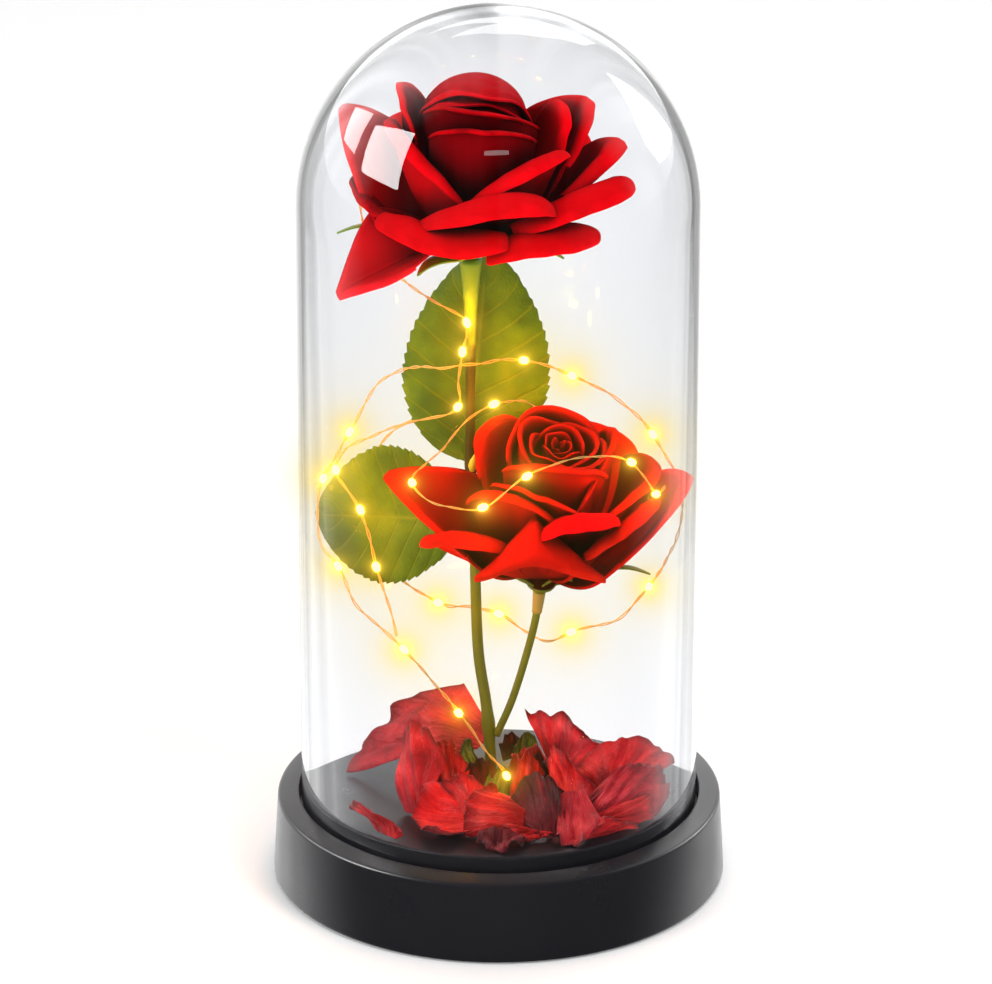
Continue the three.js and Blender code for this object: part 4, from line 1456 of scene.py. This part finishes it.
# Studio
@dataclass
class Studio:
    """Pale floor, white surround, softboxes and the camera at the photograph's angle.

    The camera's aim and its sensor are in millimetres, and other lengths are in metres.
    """

    pitch_deg: float = 23.02
    distance: float = 1.892
    focal_px: float = 7545.0
    aim: Triple = (-0.72, 0.0, 103.33)
    width_px: int = 992
    sensor: float = 36.0
    white: float = 1.0
    ambient: float = 0.42
    front_mirror: float = 0.04
    back_mirror: float = 1.4
    bloom: float = 23.0
    halo: float = 1.5
    floor_size: float = 6.0
    floor_z: float = -0.0003
    floor_white: float = 0.95
    floor_glow: float = 0.1
    far: float = 50.0
    lights_aim: Triple = (0, 0, 0.13)
    backdrop_y: tuple[float, float] = (-0.15, 0.4)
    upper_z: tuple[float, float] = (0.45, 0.85)
    upper_share: float = 0.5
    fold_least: float = 0.42
    glare_from: float = 5.0
    glare_size: float = 0.62
    core_share: float = 0.12
    bloom_tint: str = "ffe884"
    halo_tint: str = "ffc840"
    core_tint: str = "fffae0"

    def build(self) -> None:
        """Builds floor, lights, surround and camera."""
        self.floor()
        self.surround()
        for box in SOFTBOXES:
            self.softbox(*box)
        for window in WINDOWS:
            self.window(*window)
        self.camera()
        self.grade()

    def floor(self) -> None:
        """Lays a plain white floor."""
        mesh = bmesh.new()
        bmesh.ops.create_grid(mesh, x_segments=1, y_segments=1, size=self.floor_size)
        material, graph, shader = new_material("studio_floor_white", Roughness=0.9, Emission_Color=WHITE)
        # Mirrored in the glass it stays dark, as a black card before the glass would keep it.
        bounces = graph.add("LightPath").outputs["Glossy Depth"]
        straight = graph.math("LESS_THAN", bounces, 0.5)
        white = (self.floor_white, self.floor_white, self.floor_white, 1)
        graph.feed(shader.inputs["Base Color"], graph.mix(straight, BLACK, white))
        graph.feed(shader.inputs["Emission Strength"], graph.math("MULTIPLY", straight, self.floor_glow))
        floor = new_object(mesh, "floor", material)
        floor.location = (0, 0, self.floor_z)
        floor.visible_glossy = False

    def surround(self) -> None:
        """Sets an even white surround, which mirrors see as a bright backdrop with a dark room before it."""
        world = bpy.data.worlds.new("studio_surround")
        world.use_nodes = True
        graph = Graph(world.node_tree)
        background = graph.tree.nodes["Background"]
        rays = graph.add("LightPath").outputs
        seen = graph.math("MAXIMUM", rays["Is Camera Ray"], rays["Is Transmission Ray"])
        plain = graph.math("MULTIPLY_ADD", seen, self.white - self.ambient, self.ambient)
        direction = graph.add("TexCoord").outputs["Generated"]
        sides = graph.add("SeparateXYZ", {0: direction}).outputs
        backdrop = graph.ranged(sides["Y"], *self.backdrop_y, self.front_mirror, self.back_mirror)
        # Upright folds of the backdrop, which the glass mirrors as pale streaks down its sides.
        folds = graph.add("TexNoise", {"W": sides["X"], "Scale": 6.0, "Detail": 3.0}, noise_dimensions="1D")
        fold = graph.math("MULTIPLY_ADD", folds.outputs["Fac"], 3.0, -0.5)
        upper = graph.ranged(sides["Z"], *self.upper_z, 1.0, self.upper_share)
        lit = graph.math("MULTIPLY", backdrop, upper)
        mirrored = graph.math("MULTIPLY", lit, graph.math("MAXIMUM", fold, self.fold_least))
        change = graph.math("SUBTRACT", mirrored, plain)
        bounced = graph.math("GREATER_THAN", rays["Glossy Depth"], 0.5)
        strength = graph.math("MULTIPLY_ADD", bounced, change, plain)
        graph.feed(background.inputs["Strength"], strength)
        background.inputs["Color"].default_value = WHITE
        bpy.context.scene.world = world

    def softbox(self, name: str, at: Triple, size: tuple[float, float], power: float) -> None:
        """Hangs a rectangular softbox that faces the flowers.

        Args:
            name: the light's name.
            at: its place in metres.
            size: width and height in metres.
            power: watts.
        """
        holder = new_light(name, "AREA", at, power, shape="RECTANGLE", size=size[0], size_y=size[1])
        aim = Vector(self.lights_aim) - Vector(at)
        holder.rotation_euler = aim.to_track_quat("-Z", "Y").to_euler()
        holder.visible_camera = False

    def window(self, name: str, corners: tuple[Triple, ...], strength: float) -> None:
        """Stands a bright window in the room that is only seen mirrored in glossy things.

        Args:
            name: the window's name.
            corners: its outline in metres.
            strength: its brightness.
        """
        mesh = bmesh.new()
        bmesh.ops.contextual_create(mesh, geom=[mesh.verts.new(corner) for corner in corners])
        bmesh.ops.triangulate(mesh, faces=mesh.faces)
        material = new_material(f"studio_{name}", Base_Color=BLACK, Emission_Color=WHITE,
                                Emission_Strength=strength)[0]
        pane = new_object(mesh, name, material)
        for ray in ("camera", "diffuse", "transmission", "volume_scatter", "shadow"):
            setattr(pane, f"visible_{ray}", False)

    def camera(self) -> None:
        """Places the camera that was fitted to the photograph."""
        data = bpy.data.cameras.new("camera")
        data.sensor_width = self.sensor
        data.lens = self.focal_px / self.width_px * self.sensor
        data.clip_end = self.far
        camera = bpy.data.objects.new("camera", data)
        pitch = math.radians(self.pitch_deg)
        back = Vector((0, -math.cos(pitch), math.sin(pitch)))
        camera.location = Vector(self.aim) * MM + back * self.distance
        camera.rotation_euler = (math.pi / 2 - pitch, 0, 0)
        bpy.context.scene.collection.objects.link(camera)
        bpy.context.scene.camera = camera

    def grade(self) -> None:
        """Plain display transform, and the soft bloom that a lens gives round lit lamps."""
        scene = bpy.context.scene
        scene.view_settings.view_transform = "Standard"
        scene.use_nodes = True
        graph = Graph(scene.node_tree, PICTURE)
        graph.tree.nodes.clear()
        picture = graph.add("RLayers").outputs["Image"]
        sockets = {"Image": picture, "Threshold": self.glare_from, "Strength": 1.0, "Size": self.glare_size}
        glare = graph.add("Glare", sockets, glare_type="FOG_GLOW", quality="HIGH").outputs
        # The bloom is warm: it takes blue out of the white behind it as well as adding light.
        level = graph.add("RGBToBW", {0: glare["Glare"]}).outputs[0]
        gained = graph.math("MULTIPLY", level, self.bloom)
        share = graph.math("DIVIDE", gained, graph.math("ADD", gained, 1.0))
        warm = graph.mix(share, picture, linear(self.bloom_tint), "MULTIPLY")
        bright = graph.math("MULTIPLY", level, self.halo)
        halo = graph.mix(1.0, bright, linear(self.halo_tint), "MULTIPLY")
        lit = graph.mix(1.0, warm, halo, "ADD")
        # The lamps themselves stay nearly white.
        hot = graph.add("RGBToBW", {0: glare["Highlights"]}).outputs[0]
        core = graph.math("MULTIPLY", hot, self.core_share)
        core.node.use_clamp = True
        graph.add("Composite", {"Image": graph.mix(core, lit, linear(self.core_tint))})


# Lights: name, place and size in metres, watts
SOFTBOXES = (
    ("key_right", (0.9, -0.9, 1.3), (0.5, 0.7), 12.5),
    ("fill_left", (-1.2, -0.8, 0.6), (0.5, 0.9), 8.5),
    ("fill_front", (-0.2, -1.6, 0.25), (0.8, 0.5), 4.5),
    ("top", (0.1, 0.3, 1.5), (0.6, 0.6), 8.5),
)
# Mirrored windows: name, outline in metres, brightness
WINDOWS = (
    ("window_left_far", ((-0.7, 0.52, 0.5), (-0.75, 0.29, 0.66), (-0.88, 0.18, 0.45),
                         (-0.81, 0.4, 0.4)), 13.0),
    ("window_left_near", ((-0.78, 0.17, 0.66), (-0.64, -0.2, 0.85), (-0.79, -0.42, 0.47),
                          (-0.91, 0.01, 0.42)), 19.0),
    ("window_right_back", ((0.54, 0.54, 0.7), (0.63, 0.61, 0.48), (0.65, 0.65, 0.23), (0.78, 0.5, 0.25),
                           (0.86, 0.32, 0.3), (0.85, 0.26, 0.46), (0.78, 0.32, 0.57)), 9.0),
    ("window_top_back", ((-0.3, 0.76, 0.61), (0.0, 0.75, 0.72), (0.22, 0.81, 0.57), (0.35, 0.78, 0.51),
                         (0.37, 0.7, 0.65), (0.2, 0.63, 0.83), (0.01, 0.62, 0.87), (-0.24, 0.65, 0.8)), 4.0),
    ("window_dash", ((-0.129, -0.588, 0.912), (0.087, -0.589, 0.918), (0.087, -0.622, 0.891),
                     (-0.13, -0.624, 0.883)), 4.0),
)

# The arrangement's sizes
# The darker velvet copy for petals that lie in shade: painted shade.
SHADE = Finish.VELVET_SHADE
UPPER = Rose(
    node="rose_upper", head=(-7, 0, 175), cloth=Finish.VELVET_UPPER, slot="velvet_upper",
    # The hood wears a darker copy of the velvet: painted shade.
    bud_cloth=Finish.VELVET_BONNET_SHADE,
    bud=Hood((-7, 0, 174), (-6, 0, 199.4), (12.6, 12.4, 14.2), (40, 49, 96)),
    calyx_at=(-7, 0, 166.4), cup=5.0,
    sepals=((-40, -3, 174), (-20, -12, 166.5), (16, -10, 170), (8, 11, 169)),
    petals=(
        Petal("bud_front", ((-18, -6, 208.5), (-5.5, -15.5, 210.5), (9, -5, 204)), 6, root=2, finish=SHADE),
        Petal("bud_right", ((9, 6, 202), (14, 0, 207), (15, -10, 199)), 6, lip=1.6, root=2.5),
        Petal("left_tall", ((-20, -9, 203), (-24, 0, 212), (-18, 10, 206)), 6, root=2.5, sharp=0.45),
        Petal("front_upright", ((-17, -14, 205), (-4.4, -20, 207.2), (9, -14, 204)), 6, drop=1,
              finish=SHADE),
        Petal("left_strip", ((-26, 2, 203.5), (-20, -14, 201.5), (-8.5, -23, 190.5)), 5, lip=2.8, root=3.5,
              drop=1.5),
        Petal("right_front", ((-6.5, -24, 192.5), (5, -21.5, 200), (15, -12, 201)), 5, lip=3.4, root=3.5,
              drop=1.5),
        Petal("right_upper", ((6, 12, 202), (21, 4, 207), (17, -8, 195)), 5, lip=1.6, root=3.5, drop=1,
              sharp=0.4),
        Petal("far_left", ((-25, 11, 199), (-38, 4, 205.5), (-33, -9, 184.5)), 7, root=4, drop=2, sharp=0.8),
        Petal("left_low", ((-36, -2, 190), (-31, -11, 185), (-20, -19, 184)), 4, lip=1.4, root=4, drop=2.5,
              finish=SHADE),
        Petal("centre_roll", ((-18.5, -23, 187), (-1, -28, 196), (12.5, -23, 191)), 4, lip=5.4, root=4,
              drop=3),
        Petal("right_side", ((19, 3, 194.5), (27.5, -3, 199), (16, -15, 190)), 5, lip=2.8, root=4, drop=2.5),
        Petal("right_long", ((3, -23.5, 185), (20, -18.5, 192.5), (32.3, -5, 191)), 4, lip=4.4, root=4.5,
              drop=3.5),
        Petal("front_left_roll", ((-28.5, -16, 186), (-13, -28, 187), (2, -28, 184.5)), 2.5, lip=5, root=4.5,
              drop=4),
        Petal("right_low", ((-3, -27.5, 180), (12, -24, 185), (25, -9, 178.5)), 1.5, lip=4.6, root=5,
              drop=4.5),
        # This petal wears a lighter copy of the velvet: painted light.
        Petal("left_point", ((-32, -5, 181.5), (-40, -14, 162.5), (-21, -18.5, 170.5)), -3, root=5,
              drop=4, sharp=0.7, finish=Finish.VELVET_PAINTED_LIT),
        Petal("back_right", ((4, 21, 195), (15, 23, 196), (22, 9, 193)), 5, lip=2.4, root=4, drop=2),
        Petal("back_left", ((-28, 12, 197), (-20, 25, 197), (-7, 26, 197)), 5, lip=2.4, root=4, drop=2),
        Petal("back_centre", ((-17, 13, 196), (-5, 20.5, 199.5), (7, 14, 196)), 5, lip=1.8, root=3, drop=1,
              loose=True),
    ),
)
LOWER = Rose(
    node="rose_lower", head=(10, -3, 90), cloth=Finish.VELVET_LOWER, slot="velvet_lower",
    bud=Bud((10, -3, 87.4), (0.14, -0.32, 1), 11.6, 38.8, 11, -0.4, 0.9, 30, wide_deg=100, ripple=2.4,
            spread=1.05, corner=0.16, lip=0.8),
    calyx_at=(10, -3, 80.8), cup=3.9, sepals=((-1, -12, 88), (18, -13, 87), (37, -8, 86.5), (2, 5, 86)),
    petals=(
        Petal("bud_left", ((-4.5, -21, 119.5), (-3, -10, 126), (6, 0, 126)), 5, lip=1.4, root=2.5),
        Petal("bud_front", ((1, -24, 122.5), (13, -31, 124.5), (26.5, -24.5, 121)), 5, lip=1.2, root=2.5),
        Petal("right_tall", ((24, -4, 124), (28.5, -13, 125.5), (19, -32, 113.5)), 6, drop=0.5, sharp=0.5),
        Petal("front_second", ((-2, -26, 119), (8, -34, 119), (20, -35, 114)), 5, lip=1.2, drop=1),
        Petal("right_upper", ((31, -6, 119), (37, -17, 118), (27, -33, 113)), 5, lip=1.6, root=3.5, drop=1.5),
        Petal("long_left", ((-3.5, -7, 114.5), (-27, -17, 118), (-8, -32.5, 103)), 5, lip=1.2, root=4,
              drop=2.5, sharp=0.6),
        Petal("front_cup", ((-8, -29, 115.5), (1.5, -34.5, 119), (14, -36, 112.5)), 4, lip=1.6, root=4,
              drop=3),
        Petal("right_pink", ((9.5, -36, 110), (19, -37, 115), (29, -31.5, 112)), 3, lip=3.4, root=4, drop=3,
              finish=Finish.VELVET_UPPER),
        Petal("right_roll", ((21, -35, 103.5), (31, -30, 110.5), (38, -18, 113.5)), 4, lip=2.6, root=4.5,
              drop=4),
        Petal("front_left_roll", ((-19, -25.5, 104), (-11, -32, 108.5), (1, -34.5, 105.5)), 2, lip=3,
              root=4.5, drop=4),
        Petal("far_right", ((36, -3, 112), (45, -10, 111), (30, -31, 99)), 5, lip=1.2, root=5, drop=4.5,
              finish=Finish.VELVET_UPPER),
        Petal("front_fold", ((-6.5, -38, 96), (8.5, -41, 102), (26.5, -37, 95)), 0, lip=1.2, root=5, drop=4,
              sharp=0.3, arch=14),
        Petal("back_left", ((-4, -2, 117), (-1, 9, 118), (9, 15, 118)), 5, lip=1.6, root=4, drop=2),
        Petal("back_right", ((13, 17, 118), (26, 14, 117), (34, 2, 114.5)), 5, lip=1.6, root=4, drop=2),
    ),
)
LEAVES = (
    Leaf("leaf_upper", (-7.5, 2.4, 112.5), (-3, 9.5, 164), (0, -1, 0.12), 36.5, 0.8, -2, -2),
    Leaf("leaf_left", (-8.6, 2.6, 97), (-45, 7, 97), (0, -1, 0.1), 35, 1.1, -2, -1),
)
RED = Finish.PETAL_RED
DARK = Finish.PETAL_DARK
GREEN = Finish.PETAL_GREEN
DRIED = (DARK, GREEN)
FALLEN = (
    FallenPetal("back_left", (-3, 6, 37), ((-38, 13, 26), (-27, 25, 37), (-10, 20, 49)), 4, 3),
    FallenPetal("left", (-20, -17, 26), ((-26, -7.5, 33.5), (-21, -3, 46.5), (-14, -11, 39.5)), 3, 4),
    FallenPetal("centre_left", (-12, -7, 28), ((-16.5, -7, 37), (-13, -6, 43), (-7, -8, 35)),
                1, 2, finish=RED),
    FallenPetal("front_left", (-4.5, -28, 29), ((-17.5, -16, 34.5), (-21, -29, 31), (-16, -42, 26)),
                3, 3, finish=RED),
    FallenPetal("front", (8.5, -29, 27.5), ((-6.5, -35, 26.5), (-9, -30, 33.5), (-1, -22, 36)),
                4, 4, finish=RED),
    FallenPetal("dried_curl", (12.5, -35, 26), ((1.5, -28, 34), (9, -24.5, 40), (17, -26.5, 34)),
                2, 4, finish=DARK),
    FallenPetal("front_right", (18, -25.5, 35), ((14, -38.5, 26.5), (19, -42, 26), (26, -35, 28)), 2, 3),
    FallenPetal("right", (22.5, -22.5, 28.5), ((31.5, -14, 39), (41, -15.5, 34.5), (39, -26, 27)), 4, 3),
    FallenPetal("right_back", (28.5, -5, 26), ((18, 3.5, 31), (32.5, 3.5, 39), (43, 2, 32)),
                4, 3, finish=RED),
    FallenPetal("back_right", (15, 16.5, 26), ((6.5, 22.5, 39), (16, 23.5, 37.5), (25.5, 20, 30.5)), 2, 2),
    FallenPetal("centre_right", (19.5, -20, 27), ((11, -9.5, 33), (14.5, -9.5, 41), (23, -17.5, 33)),
                3, 4, finish=RED),
    FallenPetal("near_glass", (-27.5, -35.5, 26), ((-36, -27, 29), (-32.5, -30.5, 32.5), (-24, -38, 28)),
                -1, 2, finish=RED),
)
# Smaller petals and scraps that lie on and between the others.
LOOSE = (
    FallenPetal("front_left_lip", (-5.5, -28.5, 29), ((-14.5, -16.5, 34), (-8, -22, 38), (-0.5, -23, 35.5)),
                1, 2, finish=RED),
    FallenPetal("front_right_lip", (20.5, -37.5, 26),
                ((24.5, -39, 29.5), (29.5, -33.5, 30.5), (33.5, -31, 26.5)),
                1, 2, finish=RED),
    FallenPetal("right_inner", (22.5, -27.5, 26.5), ((29, -22, 39.5), (37, -18, 38), (42, -19.5, 30)),
                3, 3),
    FallenPetal("right_low", (24, -28.5, 27.5), ((30.5, -24.5, 31.5), (37, -23.5, 30.5), (38.5, -27.5, 26.5)),
                2, 3, finish=RED),
    FallenPetal("centre_small", (8, 2.5, 28.5), ((3, -5.5, 37.5), (7, -5.5, 40), (12, -4, 36)),
                1, 2, finish=RED),
    FallenPetal("centre_dark", (13, 7, 26.5), ((9, -5, 37), (13, -5, 38), (17, -1, 33)),
                1, 2, finish=DARK),
    FallenPetal("behind_stem", (4, 22.5, 26), ((0, 18.5, 31), (4, 20, 34), (9, 20, 31)),
                1, 2, finish=DARK),
    FallenPetal("front_low", (9.5, -35, 28), ((0.5, -35, 29.5), (5.5, -37.5, 26), (13.5, -33.5, 26)),
                1, 2, finish=RED),
    FallenPetal("front_tip", (0, -37.5, 29.5), ((-5.5, -37.5, 27), (0, -45.5, 26), (6.5, -39, 26.5)),
                1, 2, finish=DARK),
    FallenPetal("foot_dark", (-3.5, -7.5, 26), ((-9, -7, 32), (-4.5, -5.5, 37), (1.5, -7, 33)),
                1, 1, finish=DARK),
    FallenPetal("green_left", (-5, -3, 26.5), ((-9, -2, 33), (-9.5, 2, 39), (-5.5, 2.5, 35)),
                1, 1, crumple=0.8, finish=GREEN),
    FallenPetal("green_front", (-2, -11, 26), ((-4, -8, 31), (0, -7, 35.5), (3.5, -8, 30.5)),
                1, 1, crumple=0.8, finish=GREEN),
    FallenPetal("green_back", (6, 5, 26), ((3.5, 6, 34), (7.5, 4, 41), (10.5, 4, 34)),
                1, 1, crumple=0.8, finish=GREEN),
    FallenPetal("foot_right", (6, -11, 26.5), ((2.5, -5, 34), (6.5, -4, 37.5), (11, -7, 34)),
                1, 2, finish=RED),
)
STRINGS = (
    LightString(
        "light_string_outer",
        ((-7, 7.5, 122), (-16, 9.5, 122), (-25, 12, 118), (-33, 13, 107), (-34, 13, 95), (-29, 13, 83),
         (-22, 13, 76), (-15, 14, 71), (-7, 19, 68), (0, 22, 65), (7, 20, 61), (12, 17.5, 59.5), (18, 20, 61),
         (29, 24, 63), (37, 20, 73), (42, 12, 85), (45, 4, 98), (44, 2, 108),
         (38, 8, 118), (30, 12, 125), (18, 8, 133), (6, 0, 140), (-6, -5, 141), (-14, -2, 139), (-23, 5, 136),
         (-30, 8, 131), (-37, 6, 119), (-41, 0, 113), (-43, -4, 110), (-44, -8, 102), (-43, -12, 95),
         (-39, -18, 92), (-35, -22, 84), (-23, -28, 74), (-10, -24, 56), (-3, -19, 44), (1, -17, 37.5)),
        ((-16, 9.5, 122), (-15, 14, 71), (0, 22, 65), (18, 20, 61), (37, 20, 73), (38, 8, 118), (18, 8, 133),
         (6, 0, 140), (-37, 6, 119), (-43, -4, 110), (-39, -18, 92), (-23, -28, 74), (-10, -24, 56)),
    ),
    LightString(
        "light_string_inner",
        ((-36, 12, 187), (-35, 12, 183), (-34, 10, 172), (-27, 7, 161), (-17, -3, 157), (-8, -5, 152),
         (-9, -5, 144), (-10, -6, 137), (-10, -5, 130), (-16, -2, 126), (-23, -1, 124), (-31, 1, 120),
         (-38, 2, 116), (-40, -2, 112), (-34, -8, 104), (-30, -14, 91), (-26, -21, 81),
         (-24.5, -25.5, 77)),
        ((-35, 12, 183), (-8, -5, 152), (-9, -5, 144), (-10, -5, 130), (-40, -2, 112), (-34, -8, 104),
         (-30, -14, 91)),
    ),
    LightString(
        "light_string_front",
        ((12, 6, 122), (8.5, 2, 127.5), (3, -3, 130.5), (-1, -6, 131), (-7, -7, 128), (-13, -14, 123),
         (-21, -34, 121), (-14, -42, 118), (-4, -43, 118), (7, -42, 126), (20, -40, 130), (32, -31, 125),
         (38, -25, 114), (40, -20, 114)),
        ((-1, -6, 130), (-21, -34, 121), (-4, -43, 118), (7, -42, 126), (32, -31, 125), (38, -25, 114)),
        strand_r=0.12, twist_r=0.16,
    ),
)
END_LAMP = Lamp("string_end_droplet", (1.9, -16.5, 36), (0.5, 0.3, -1), 0.9, 0.003, "string_end_lamp")


def main() -> None:
    """Builds the arrangement, then the studio round it."""
    logging.basicConfig(level=logging.INFO, format="%(name)s %(message)s")
    Base().build()
    Dome().build()
    Stems().build()
    for leaf in LEAVES:
        leaf.build()
    for rose in (UPPER, LOWER):
        rose.build()
    for number, petal in enumerate(FALLEN + LOOSE):
        petal.build(number * 2.3 + 1, loose=petal in LOOSE)
    for string in STRINGS:
        string.build()
    END_LAMP.build()
    Studio().build()
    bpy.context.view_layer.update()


if __name__ == "__main__":
    main()
